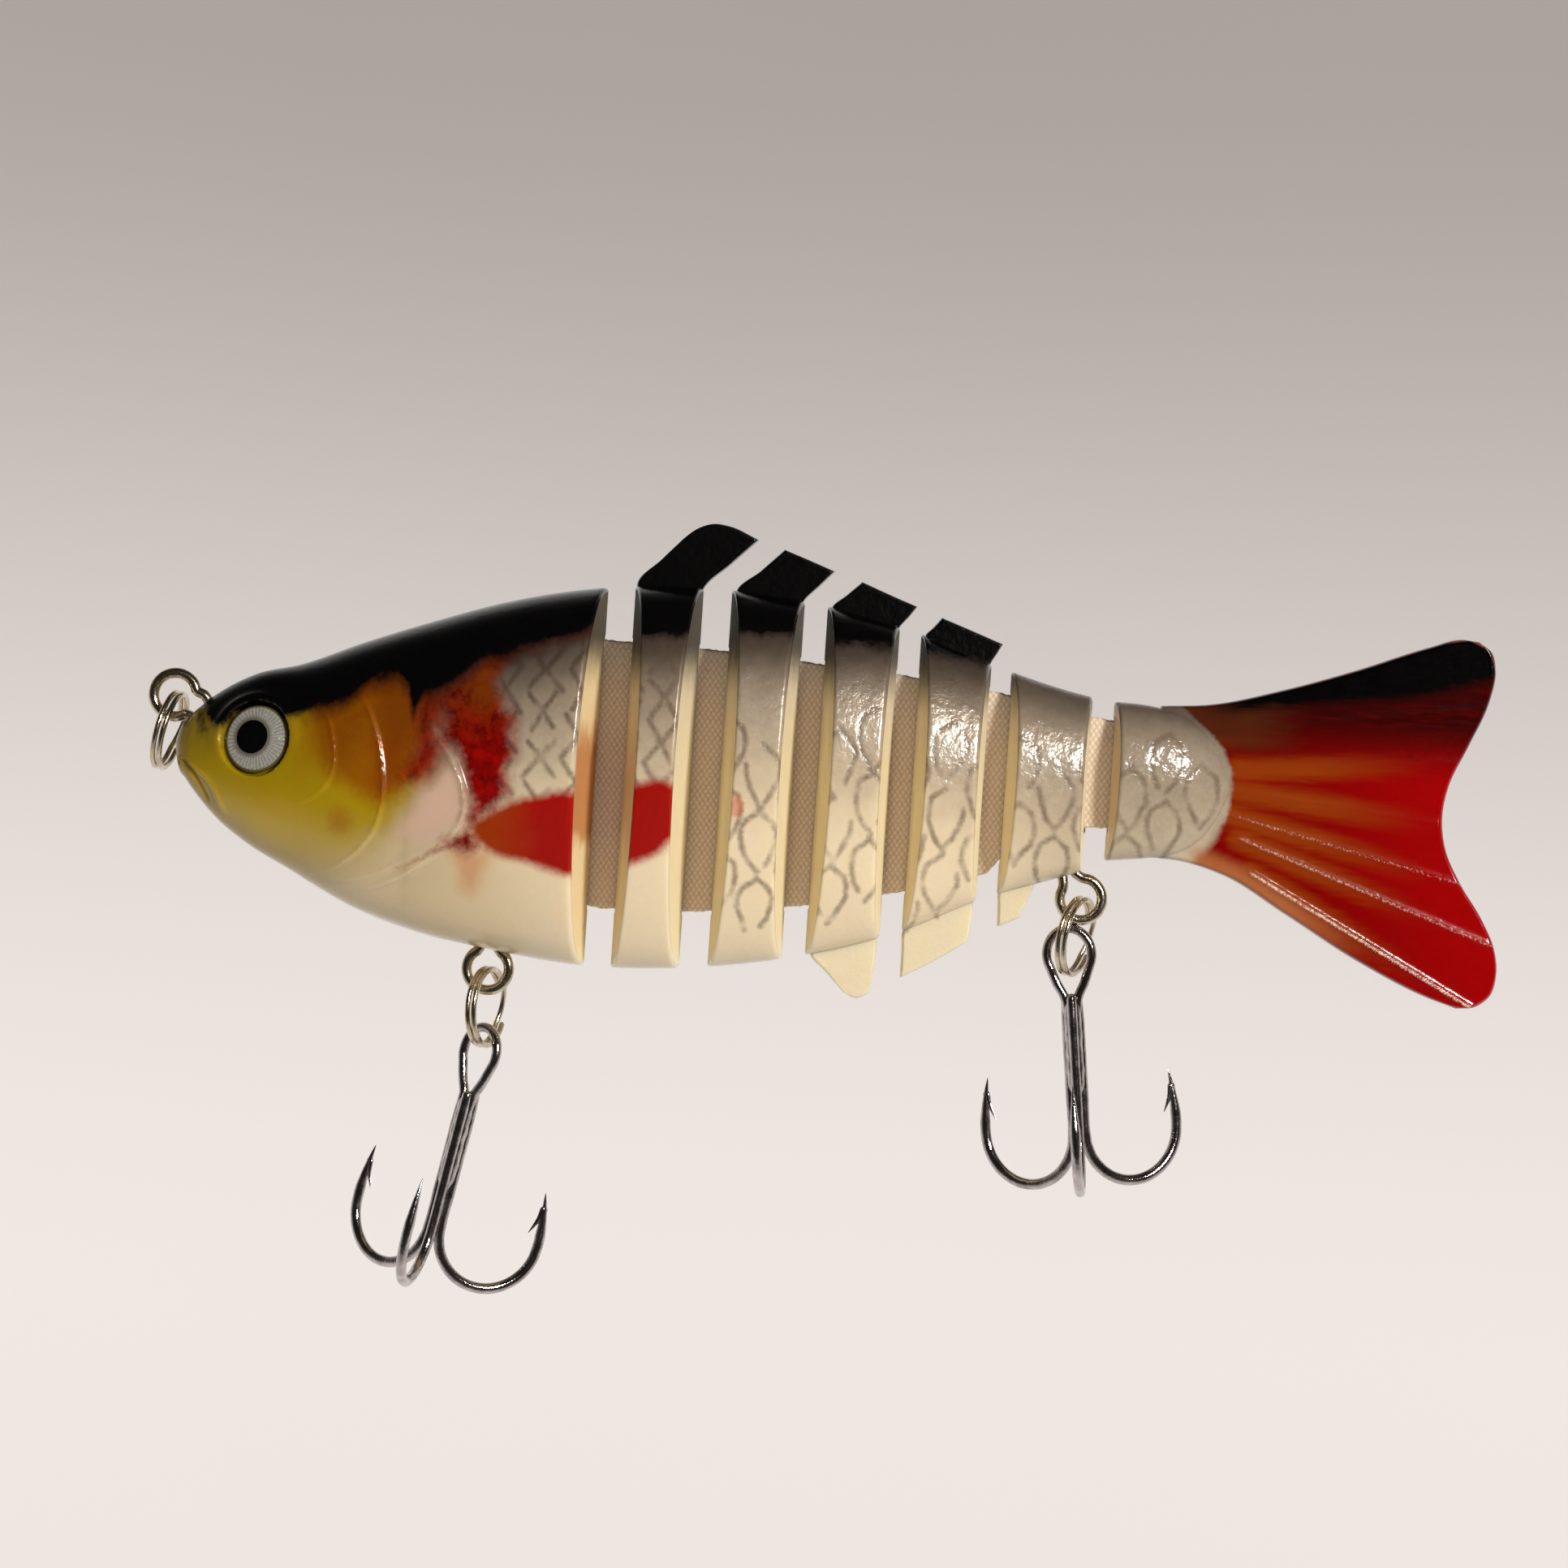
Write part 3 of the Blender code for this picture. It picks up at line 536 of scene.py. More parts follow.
# relief of the head: curves in X and Z, with a ridge and a step down behind it
headRidges = [
    {"at": [(10.9, 0.6), (11.26, 0.19), (12.26, -0.97), (12.87, -2.78), (13.04, -4.31),
            (12.59, -5.88), (11.43, -7.06), (9.93, -7.59)],
     "ridge": 0.10, "width": 0.13, "step": 0.07},
    {"at": [(14.3, 1.2), (14.94, 0.44), (16.0, -1.65), (16.66, -4.07), (16.88, -6.52),
            (16.47, -8.7), (15.36, -10.5), (13.9, -11.77), (12.11, -12.56), (10.88, -12.64)],
     "ridge": 0.16, "width": 0.16, "step": 0.14},
    {"at": [(19.6, -0.2), (20.5, -1.66), (21.44, -2.83), (22.34, -4.31), (22.95, -6.11),
            (22.99, -7.65), (22.34, -8.93), (20.91, -10.56), (18.86, -12.24), (16.48, -13.44),
            (14.05, -13.97)],
     "ridge": 0.24, "width": 0.22, "step": 0.26},
    {"at": [(21.9, -9.3), (19.0, -11.0), (15.4, -12.8), (12.6, -13.3)],
     "ridge": 0.09, "width": 0.14, "step": 0.0},
    {"at": [(0.62, -4.55), (1.9, -5.7), (2.6, -6.7), (3.5, -8.2)],
     "ridge": -0.22, "width": 0.16, "step": 0.0},
    {"at": [(1.3, -4.9), (2.5, -5.6), (3.4, -6.4), (4.3, -8.0), (4.9, -9.0)],
     "ridge": 0.14, "width": 0.17, "step": 0.0},
]


def headRelief(x, z):
    # each ridge is height * exp(-(d / width)²) with a step of fade(d) behind it, thinned out
    # towards its two ends
    height = np.zeros(x.shape)
    for spec in headRidges:
        away, share = curveDistance(x, z, spec["at"])
        ends = fade(0.0, 0.14, share) * fade(0.0, 0.18, 1.0 - share)
        lip = spec["ridge"] * np.exp(-(away / spec["width"]) ** 2)
        behind = spec["step"] * fade(-spec["width"], spec["width"], away)
        fall = np.exp(-np.clip(away, 0.0, None) / 2.2)
        height += ends * (lip - behind * fall)
    return height


def rounded(distance, radius):
    # how far a rounded edge lies inside the wall: r - √(r² - (r - d)²)
    short = np.clip(radius - distance, 0.0, radius)
    return radius - np.sqrt(radius**2 - short**2)


def ringPlaces(first, last, radii, spacing, steps):
    # X of the rings at the middle plane: even between, quarter-circle steps over rounded ends
    turn = np.linspace(0.0, math.pi / 2, 6)
    start = first + radii[0] * (1.0 - np.cos(turn))
    end = last - radii[1] * (1.0 - np.cos(turn))
    count = int((end[-1] - start[-1]) / spacing)
    between = np.linspace(start[-1], end[-1], count)
    places = np.concatenate([np.unique(np.concatenate([start, between, end])), steps, steps])
    return np.sort(places)


def between(places, span):
    # which rings lie in a span; of two rings at its edge, the one inside it
    inside = (places > span[0]) & (places < span[1])
    for edge, copy in ((span[0], -1), (span[1], 0)):
        found = np.flatnonzero(places == edge)
        if len(found):
            inside[found[copy]] = True
    return inside


shellWall = {"thick": 1.4, "slot": 0.55, "slotSpare": 0.3}


def halfShell(spec, side):
    # outer skin: y = gap + (half - gap) sin(a)^0.9 and z = middle + height cos(a), with a from
    # 0 at the back to 180 degrees at the belly, and x leaning in by the slope times y;
    # joint side: y = the deepest of the gap, the strip's slot and the hollow
    first, last = spec["ends"]
    steps = [edge for span in (spec["hollow"], spec["slot"]) for edge in span
             if first < edge < last]
    places = ringPlaces(first, last, spec["radii"], spec["spacing"], steps)
    knots, wall, spare = spec["knots"], shellWall["thick"], shellWall["slotSpare"]
    t = ((places - first) / (last - first))[:, None]
    lean = spec["slopes"][0] * (1 - t) - spec["slopes"][1] * t
    inset = np.maximum(rounded(places - first, max(spec["radii"][0], 1e-6)),
                       rounded(last - places, max(spec["radii"][1], 1e-6)))[:, None]
    turn = np.linspace(0.0, math.pi, spec["around"] + 1)[None, :]
    y = np.zeros((len(places), spec["around"] + 1))
    for _ in range(3):
        x = places[:, None] + lean * y
        top, bottom, half = readKnots(knots, x)
        y = bodyGap + np.maximum(half - inset - bodyGap, 0.02) * np.sin(turn).clip(0) ** 0.9
    x = places[:, None] + lean * y
    z = (top + bottom) / 2 + ((top - bottom) / 2 - inset) * np.cos(turn)
    outer = np.stack([x, side * y, z], axis=-1)
    joint = outer[:, [0, -1], 2]
    if spec.get("relief"):
        outer = spec["relief"](outer, side)
    # rows of the joint side, doubled at the slot's edges
    slotTop, slotBottom = (np.interp(places, stripKnots[:, 0], stripKnots[:, i]) for i in (1, 2))
    slotTop = np.minimum(slotTop + spare, joint[:, 0] - spare)
    slotBottom = np.maximum(slotBottom - spare, joint[:, 1] + spare)
    counts = spec["rows"]
    parts = []
    for low, high, count in ((joint[:, 0], slotTop, counts[0]), (slotTop, slotBottom, counts[1]),
                             (slotBottom, joint[:, 1], counts[2])):
        share = np.linspace(0.0, 1.0, count)[None, :]
        parts.append(low[:, None] * (1 - share) + high[:, None] * share)
    rowZ = np.concatenate(parts, axis=1)
    rowY = np.full(rowZ.shape, bodyGap)
    slotted = between(places, spec["slot"])
    rowY[np.ix_(slotted, np.arange(counts[0], counts[0] + counts[1]))] = shellWall["slot"]
    hollow = between(places, spec["hollow"])
    top, bottom, half = (v[:, None] for v in readKnots(knots, places))
    level = (rowZ - (top + bottom) / 2) / ((top - bottom) / 2 - wall)
    deep = bodyGap + (half - wall - bodyGap) * np.clip(1.0 - level**2, 0.0, 1.0) ** 0.45
    rowY = np.where(hollow[:, None] & (abs(level) < 1.0), np.maximum(rowY, deep), rowY)
    rowX = places[:, None] + lean * rowY
    inner = np.stack([rowX, side * rowY, rowZ], axis=-1)
    inner[:, 0], inner[:, -1] = outer[:, 0], outer[:, -1]
    skin = Skin()
    skin.addGrid(outer)
    mark = np.ones(inner.shape[:2])
    mark[:, [0, -1]] = 0.0
    skin.addGrid(inner, mark)
    across = np.array([0.0, 0.02, 0.1, 0.25, 0.5, 0.75, 1.0])[None, :, None]
    for row in (0, -1):
        face = outer[row][:, None] * (1 - across) + inner[row][:, None] * across
        mark = np.ones(face.shape[:2])
        mark[:, 0] = 0.0
        mark[[0, -1]] = 0.0
        skin.addGrid(face, mark)
    return skin


def surfaceNormals(grid, side):
    # the cross product of the grid's two directions, turned to point away from the middle plane
    across = np.cross(np.gradient(grid, axis=0), np.gradient(grid, axis=1))
    across /= np.linalg.norm(across, axis=-1, keepdims=True) + 1e-12
    flip = np.sign(across[..., 1:2] * side)
    return across * np.where(flip == 0, 1, flip)


def headSkinRelief(grid, side):
    # the ridges and a raised rim, exp(-((r - 3.2) / 0.42)²) by the distance r from the eye's
    # axis, along the normals; then the eye's seat, sunk flat with a short slope at its edge
    x, z = grid[..., 0], grid[..., 2]
    centre, _, up, out = eyeFrame(side)
    offset = grid - centre
    reach = np.linalg.norm(offset - (offset @ out)[..., None] * out, axis=-1)
    rim = 0.20 * np.exp(-((reach - 3.2) / 0.42) ** 2) * fade(-3.0, 2.6, offset @ up)
    height = headRelief(x, z) * fade(3.0, 3.6, reach) + rim
    margin = fade(0.0, 0.9, abs(grid[..., 1]) - bodyGap) * fade(0.0, 1.0, 32.2 - x)
    moved = grid + (height * margin)[..., None] * surfaceNormals(grid, side)
    offset = moved - centre
    reach = np.linalg.norm(offset - (offset @ out)[..., None] * out, axis=-1)
    sunk = 1.0 - fade(eyeShape["radius"] + 0.1, eyeShape["rim"] + 0.06, reach)
    return moved + (sunk * (-eyeShape["recess"] - offset @ out))[..., None] * out


headShape = {
    "knots": bodyKnots, "ends": (0.32, 32.2), "radii": (0.0, 0.35), "slopes": (0.0, faceSlope),
    "spacing": 0.15, "around": 178, "rows": (40, 99, 40), "hollow": (10.5, 31.0),
    "slot": (26.3, 99.0), "relief": headSkinRelief,
}
segmentEnds = {
    "segment_2": (34.2, 39.4),
    "segment_3": (41.5, 47.1),
    "segment_4": (48.8, 54.4),
    "segment_5": (56.0, 61.5),
    "segment_6": (63.0, 69.3),
}
tailShape = {
    "knots": bulgeKnots, "ends": (70.95, 79.9), "radii": (0.25, 0.0), "slopes": (faceSlope, 0.0),
    "spacing": 0.14, "around": 118, "rows": (30, 59, 30), "hollow": (99.0, 99.0),
    "slot": (-9.0, 76.5),
}

# fins: root, free edge, and the points between them along the two edges beside them
dorsalFins = {
    "segment_2": {"root": [(34.6, 9.4), (39.0, 9.4)],
                  "front": [(34.3, 10.6), (36.0, 12.6)],
                  "edge": [(37.6, 14.3), (38.6, 15.15), (39.8, 15.6), (41.0, 15.5), (43.3, 14.6)],
                  "rear": [(39.35, 10.6), (41.3, 12.6)]},
    "segment_3": {"root": [(42.0, 9.2), (46.6, 9.2)],
                  "front": [(41.8, 10.5), (43.6, 12.3)],
                  "edge": [(45.3, 14.0), (47.3, 13.3), (49.2, 12.6)],
                  "rear": [(47.0, 10.2), (48.1, 11.4)]},
    "segment_4": {"root": [(49.3, 8.6), (54.0, 7.7)],
                  "front": [(49.1, 9.8), (50.2, 10.9)],
                  "edge": [(51.3, 11.95), (53.4, 11.15), (55.6, 10.35)],
                  "rear": [(54.35, 8.7), (55.0, 9.5)]},
    "segment_5": {"root": [(56.5, 7.0), (61.1, 5.4)],
                  "front": [(56.3, 8.2), (56.9, 8.9)],
                  "edge": [(57.5, 9.65), (59.9, 8.8), (62.25, 7.95)],
                  "rear": [(61.45, 6.5), (61.85, 7.2)]},
}
lowerFins = {
    "segment_4": {"root": [(49.4, -15.2), (54.0, -13.9)],
                  "front": [(49.2, -16.3), (50.5, -17.7)],
                  "edge": [(51.9, -19.1), (52.8, -19.5), (53.7, -19.1), (54.0, -18.5)],
                  "rear": [(54.2, -15.0), (54.15, -16.8)]},
    "segment_5": {"root": [(56.5, -12.9), (61.0, -10.8)],
                  "front": [(56.1, -14.0), (56.1, -15.9)],
                  "edge": [(56.1, -17.75), (58.3, -16.5), (59.7, -15.6), (61.0, -14.7)],
                  "rear": [(61.3, -11.9), (61.2, -13.3)]},
    "segment_6": {"root": [(63.4, -9.4), (65.6, -8.7)],
                  "front": [(63.1, -10.5), (63.15, -12.0)],
                  "edge": [(63.2, -13.4), (64.0, -13.05), (64.8, -12.6)],
                  "rear": [(65.8, -9.9), (65.3, -11.3)]},
}
tailFin = {
    "root": [(74.5, 4.1), (74.5, -1.5), (74.5, -7.4)],
    "front": [(78.2, 4.45), (83.6, 5.9), (89.0, 7.75), (94.4, 9.85), (96.8, 10.6)],
    "edge": [(98.1, 10.5), (99.2, 9.7), (99.55, 8.3), (99.2, 5.9), (97.9, 2.6), (96.6, -0.5),
             (96.25, -2.6), (96.6, -5.2), (97.9, -7.8), (99.7, -10.4), (100.8, -12.6),
             (101.1, -14.4), (100.7, -16.2), (99.6, -17.1), (98.2, -17.3)],
    "rear": [(77.0, -7.6), (80.0, -8.4), (84.8, -11.0), (90.5, -14.2), (95.9, -16.6)],
}
# rays of the tail fin: ridge height, and glint, the strength of the painted glitter highlight
# along each ray
tailRays = [
    {"from": (77.7, 2.1), "to": (99.3, 5.6), "ridge": 0.04, "glint": 0.0},
    {"from": (80.4, -0.4), "to": (97.5, 1.3), "ridge": 0.06, "glint": 0.35},
    {"from": (80.5, -2.0), "to": (96.3, -3.6), "ridge": 0.06, "glint": 0.4},
    {"from": (79.3, -3.6), "to": (97.9, -7.9), "ridge": 0.07, "glint": 0.75},
    {"from": (80.9, -5.5), "to": (100.8, -12.5), "ridge": 0.08, "glint": 0.85},
    {"from": (82.0, -8.1), "to": (99.1, -17.1), "ridge": 0.12, "glint": 1.0},
]


def finSides(shape):
    # the two edges beside the free edge, from the ends of the root to its ends
    return [[shape["root"][i], *shape[key], shape["edge"][i]]
            for i, key in ((0, "front"), (-1, "rear"))]


def addPlate(skin, shape, side, thick, counts, inner, edgeRadius, relief=None):
    # a Coons patch: the two pairs of facing edges blended, less the blend of the four corners;
    # outside it stands y = inner + thick * e, where e follows a quarter circle at the free edges
    a = 0.5 - 0.5 * np.cos(np.linspace(0.0, math.pi, counts[0]))
    b = np.sin(np.linspace(0.0, math.pi / 2, counts[1]))
    root, edge, front, rear = (smoothCurve(points, 400) for points in (
        shape["root"], shape["edge"], *finSides(shape)))

    def read(curve, share):
        at = np.linspace(0.0, 1.0, len(curve))
        return np.stack([np.interp(share, at, curve[:, i]) for i in (0, 1)], axis=-1)

    u, v = a[:, None, None], b[None, :, None]
    flat = ((1 - v) * read(root, a)[:, None] + v * read(edge, a)[:, None]
            + (1 - u) * read(front, b)[None] + u * read(rear, b)[None]
            - (1 - u) * (1 - v) * root[0] - u * (1 - v) * root[-1]
            - (1 - u) * v * edge[0] - u * v * edge[-1])
    width = np.linalg.norm(np.diff(flat, axis=0), axis=-1).sum(axis=0)[None, :]
    length = np.linalg.norm(np.diff(flat, axis=1), axis=-1).sum(axis=1)[:, None]
    near = np.minimum(np.minimum(a[:, None], 1 - a[:, None]) * width, (1 - b)[None, :] * length)
    swell = np.sqrt(1.0 - np.clip(1.0 - near / edgeRadius, 0.0, 1.0) ** 2)
    outerY = inner + thick * swell
    if relief is not None:
        outerY = outerY + relief(flat[..., 0], flat[..., 1]) * fade(0.0, 0.6, near)
    outer = np.stack([flat[..., 0], side * outerY, flat[..., 1]], axis=-1)
    under = np.stack([flat[..., 0], np.full(near.shape, side * inner), flat[..., 1]], axis=-1)
    skin.addGrid(outer)
    skin.addGrid(under, 1.0)
    skin.addGrid(np.stack([outer[:, 0], under[:, 0]], axis=1))


def rayRelief(x, z):
    # a ridge along each ray, and a shallow hollow of the same curve between two of them
    height = np.zeros(x.shape)
    for ray in tailRays:
        away, _, _ = sideDistances(x, z, np.array(ray["from"]), np.array(ray["to"]))
        height += ray["ridge"] * np.exp(-(away / 0.26) ** 2) + 0.5 * ray["ridge"] * np.exp(-away)
    return height - 0.06


def tailPaint(points):
    x, z = points[:, 0], points[:, 2]
    found = bodyPaint(points)
    closest = np.full(len(points), 1e9)
    # glint: how strongly the painted highlight of the glitter shows beside each ray
    glint = np.zeros(len(points))
    for ray in tailRays:
        away, _, _ = sideDistances(x, z, np.array(ray["from"]), np.array(ray["to"]))
        closest = np.minimum(closest, away)
        glint = np.maximum(glint, ray["glint"] * np.exp(-(away / 0.24) ** 2))
    front, rear = finSides(tailFin)
    rim = np.concatenate([front, tailFin["edge"][1:], rear[-2::-1]])
    dark = np.array([(74.0, 3.2), (78.8, 3.6), (82.4, 4.5), (87.3, 5.2), (92.2, 5.8), (97.0, 7.0),
                     (99.7, 8.0)])
    rounding = np.array([(-9.0, 77.0), (-7.1, 78.2), (-5.6, 79.2), (-3.8, 79.9), (-2.2, 80.1),
                         (-0.5, 80.0), (1.2, 79.2), (2.6, 77.9), (3.8, 76.4), (6.0, 73.0)])
    found.update(ray=closest, glint=glint, rim=outlineDistance(x, z, rim),
                 bulge=x - np.interp(z, rounding[:, 0], rounding[:, 1]),
                 lobe=z - np.interp(x, dark[:, 0], dark[:, 1]))
    return found


# finishes

def plasticPaint(finish, at):
    # cream plastic that turns to grey pearl up the flank and towards the tail, and scale lines
    x, _, z = finish.axes(at)
    wobble = finish.noise(at, 0.55, 3.0)
    fine = finish.noise(at, 2.6, 4.0)
    back = finish.field("back") + wobble * 0.5 + fine * 0.25
    base = finish.coats(tint(224, 204, 170), ((back + wobble).rise(-17.0, -3.0), (136, 119, 100)),
                        ((x + z * 0.5).rise(54.0, 70.0) * 0.42, (132, 118, 100)),
                        (fine.rise(-1.4, 1.6) * 0.15, (244, 232, 210)))
    broken = finish.noise(at, 0.6, 2.0).rise(-0.8, 0.4) * 0.8 + 0.2
    stroke = finish.field("mark") + fine * 0.10 + finish.noise(at, 6.0, 2.0) * 0.05
    return x, z, wobble, fine, back, base, (1.0 - stroke.rise(0.0, 0.38)) * broken


def headPaintColour(finish, at, x, z, wobble, fine, colour):
    # olive snout, cream underside of the head with painted shade under the chin, and brown-orange
    # cheek
    olive = finish.field("olive") + wobble * 0.5
    snout = finish.coats(
        tint(170, 140, 14),
        (x.rise(8.0, 14.5) * (z + wobble).rise(-6.4, -3.0), (160, 94, 4)),
        ((z - 0.5 * x + wobble).rise(-7.2, -3.0), (140, 116, 30)))
    snout = finish.mix((z + 0.25 * x).rise(-8.5, -4.0), tint(190, 160, 66), snout)
    colour = finish.mix(olive.rise(-2.2, 2.2), colour, snout)
    # painted shade: the underside of the head darker, fading out upwards and behind the gill
    chinShade = (1.0 - x.rise(20.0, 34.0)) * (1.0 - (z + wobble).rise(-12.5, -7.0))
    brown = (z - 0.2 * x + wobble).rise(-4.6, 0.2) * x.rise(8.0, 11.0) * (
        1.0 - x.rise(17.0, 20.0))
    colour = finish.coats(colour, (chinShade * 0.42, (176, 150, 92)), (brown * 0.55, (106, 52, 4)))
    orange = finish.coats(tint(142, 70, 1), (wobble.rise(-0.8, 0.8), (150, 92, 6)))
    cheek = finish.field("cheek") + fine * 0.3 + wobble * 0.5
    colour = finish.mix(cheek.rise(-0.9, 1.4), colour, orange)
    # pink gill, mottled red patches with orange and dark specks near the top, orange patches
    pink, under = finish.field("pinkGill") + wobble * 0.3, finish.field("under") + wobble * 0.5
    colour = finish.coats(colour, (pink.rise(-0.9, 1.2), (204, 170, 148)),
                          (under.rise(-1.0, 1.0) * 0.55, (196, 118, 60)))
    mottle = finish.noise(at, 1.15, 4.0, 0.65)
    upper = (z + wobble * 1.6).rise(-3.6, 3.0)
    red = finish.coats(tint(96, 2, 1), (mottle.rise(-0.5, 0.6), (150, 6, 3)),
                       (upper * mottle.rise(-0.5, 0.25) * 0.8, (118, 48, 6)),
                       (upper * (1.0 - mottle.rise(-0.6, 0.1)) * 0.7, (46, 8, 3)))
    for label, low, high, share in (("redFront", -1.2, 1.2, 0.95), ("redRear", -0.8, 0.8, 1.0),
                                    ("crescent", -0.15, 0.55, 0.6)):
        edge = finish.field(label) + wobble * 0.45 + fine * 0.3
        colour = finish.mix(edge.rise(low, high) * share, colour, red)
    for label in ("orangeTop", "orangeGill"):
        edge = finish.field(label) + fine * 0.25 + wobble * 0.3
        colour = finish.coats(colour, (edge.rise(-1.0, 1.1) * 0.75, (128, 58, 5)))
    spot = ((x - 13.7) ** 2.0 + (z + 8.6) ** 2.0) ** 0.5 + fine * 0.3
    return finish.coats(colour, ((1.0 - spot.rise(0.2, 1.5)) * 0.6, (158, 96, 20)))


def makeShellFinish(part):
    finish = Finish(f"{part} paint", Roughness=0.2, Specular_IOR_Level=0.42,
                    Subsurface_Weight=0.5, Subsurface_Radius=(1.0, 0.78, 0.5),
                    Subsurface_Scale=0.0022)
    at = finish.place()
    inner = finish.field("inner")
    x, z, wobble, fine, back, base, lines = plasticPaint(finish, at)
    colour = finish.coats(base, (back.rise(-5.2, -0.3), (74, 62, 53)))
    dark = back.rise(-0.75, 0.25)
    level = z + wobble
    bare = finish.coats(tint(240, 222, 180), (level.rise(-6.0, 6.0), (226, 208, 174)))
    if part == "head":
        lines = lines * x.rise(24.4, 25.4)
        colour = finish.coats(colour, (lines * 0.68, (66, 50, 40)))
        colour = headPaintColour(finish, at, x, z, wobble, fine, colour)
        brow = (finish.field("brow") + wobble * 0.35 + fine * 0.3).rise(-0.7, 0.2)
        speckle = finish.noise(finish.stretched(at, 1.0, 1.0, 0.45), 1.5, 4.0, 0.7)
        beside = (1.0 - x.rise(2.4, 4.6)) * x.rise(0.9, 2.2) * (z + 0.3 * x).rise(-4.2, -1.4)
        dark = dark.most(brow).most((beside + speckle * 0.45).rise(0.65, 1.25) * 0.85)
        bare = finish.coats(tint(240, 214, 164), (
            level.rise(-10.0, -8.0) * (1.0 - level.rise(-2.5, 1.0)), (196, 136, 82)))
    else:
        colour = finish.coats(colour, (lines * 0.68, (92, 74, 58)))
    band = finish.field("band") + wobble * 0.25 + fine * 0.12
    red = finish.coats(tint(150, 50, 3), ((x + wobble * 1.2).rise(24.8, 29.2), (152, 8, 2)),
                       (fine.rise(-0.4, 1.0) * 0.25, (166, 30, 12)))
    colour = finish.mix(band.rise(-0.5, 0.5), colour, red)
    dot = ((x - 43.0) ** 2.0 + ((z + 5.6) * 0.6) ** 2.0) ** 0.5 + fine * 0.2
    colour = finish.coats(colour, ((1.0 - dot.rise(0.25, 0.75)) * 0.5, (196, 70, 40)))
    if part == "head":
        rust = back.rise(-1.7, -0.3) * x.rise(9.0, 13.0)
        colour = finish.coats(colour, (rust * 0.7, (66, 22, 8)))
    colour = finish.coats(colour, (dark, (4, 3, 3)))
    # the faces in the gaps are bare plastic
    bare = finish.coats(bare, (back.rise(-5.0, -0.6) * 0.92, (40, 35, 32)))
    finish.feed("Base Color", finish.mix(inner.rise(0.3, 0.7), colour, bare))
    pearl = back.rise(-7.5, -3.0) * (1.0 - dark)
    sparkle = finish.noise(at, 7.0, 2.0, 0.7)
    dent = finish.noise(at, 0.95, 3.0, 0.6) * x.rise(30.0, 62.0)
    finish.feed("Metallic", pearl * 0.2 * (1.0 - inner))
    finish.feed("Roughness", 0.2 + fine * 0.04 + pearl * 0.04 + inner.rise(0.3, 0.7) * 0.5)
    finish.bump(wobble * 0.2 + dent * 0.7 + fine * 0.10 + sparkle * pearl * 0.12 - lines * 0.35,
                0.05, 0.9)
    return finish.material


def makeTailFinish():
    finish = Finish("tail paint", Roughness=0.13, Specular_IOR_Level=0.3, Subsurface_Weight=0.3,
                    Subsurface_Radius=(1.0, 0.78, 0.5), Subsurface_Scale=0.0012)
    at = finish.place()
    inner = finish.field("inner")
    x, z, wobble, fine, back, base, lines = plasticPaint(finish, at)
    pearl = finish.coats(base, (back.rise(-4.6, -0.3), (84, 72, 62)), (lines * 0.68, (98, 80, 64)))
    ray, glint, rim = (finish.field(label) for label in ("ray", "glint", "rim"))
    streak = finish.noise(finish.stretched(at, 0.25, 1.0, 2.2), 1.6, 4.0)
    root = (1.0 - (x + streak * 2.0).rise(80.5, 86.0)) * z.rise(0.4, 2.0)
    near = (1.0 - (ray + streak * 0.3).rise(0.25, 1.4)) * (1.0 - (x + streak).rise(85.0, 96.0))
    red = finish.coats(tint(118, 0, 0), ((x + z * 0.3 + streak).rise(82.0, 97.0), (150, 0, 1)),
                       ((z + streak * 0.6).rise(-1.0, 4.2), (48, 2, 1)),
                       (root * 0.8, (74, 34, 12)), (streak.rise(-0.2, 1.2) * 0.4, (128, 3, 2)),
                       (near * 0.9 * (1.0 - z.rise(0.0, 2.4)), (138, 54, 6)))
    # red starts at the rounded end of the root, with a softer edge below
    over = finish.field("bulge") + fine * 0.15 + wobble * 0.15
    above = z.rise(-6.0, -3.6)
    soft = over.rise(-0.7, 0.5) * (1.0 - above) + over.rise(-0.2, 0.3) * above
    colour = finish.mix(soft, pearl, red)
    low = (1.0 - (rim + fine * 0.15).rise(0.4, 1.9)) * (1.0 - (z + x * 0.5).rise(32.6, 34.6))
    low = low * x.rise(76.8, 78.4) * (1.0 - x.rise(84.0, 92.0))
    lobe = (finish.field("lobe") + streak * 0.5).rise(-0.7, 0.5)
    # glitter along the rays: real glitter flakes whose sparkle is painted in as white specks, a
    # painted highlight
    sparkle = finish.noise(at, 5.5, 2.0, 0.8)
    glitterHighlight = (glint * 0.9 + sparkle * 0.6).rise(0.6, 0.95) * x.rise(79.5, 83.5) * glint
    outline = (1.0 - rim.rise(0.03, 0.17)) * x.rise(79.0, 84.0)
    colour = finish.coats(colour, (low * 0.9, (166, 98, 56)),
                          (lobe * (x + z).rise(80.0, 86.0), (3, 2, 2)),
                          (glitterHighlight * 0.9, (226, 190, 168)), (outline * 0.4, (170, 96, 84)))
    bare = tint(214, 188, 148)
    finish.feed("Base Color", finish.mix(inner.rise(0.3, 0.7), colour, bare))
    finish.feed("Roughness", 0.13 + fine * 0.03 + glitterHighlight * 0.15 + inner * 0.3)
    dent = finish.noise(at, 0.95, 3.0, 0.6) * (1.0 - x.rise(78.0, 81.0))
    finish.bump(wobble * 0.2 + dent * 0.7 + fine * 0.08 + streak * 0.12 + glitterHighlight * 0.9
                - lines * 0.3, 0.05, 0.9)
    return finish.material


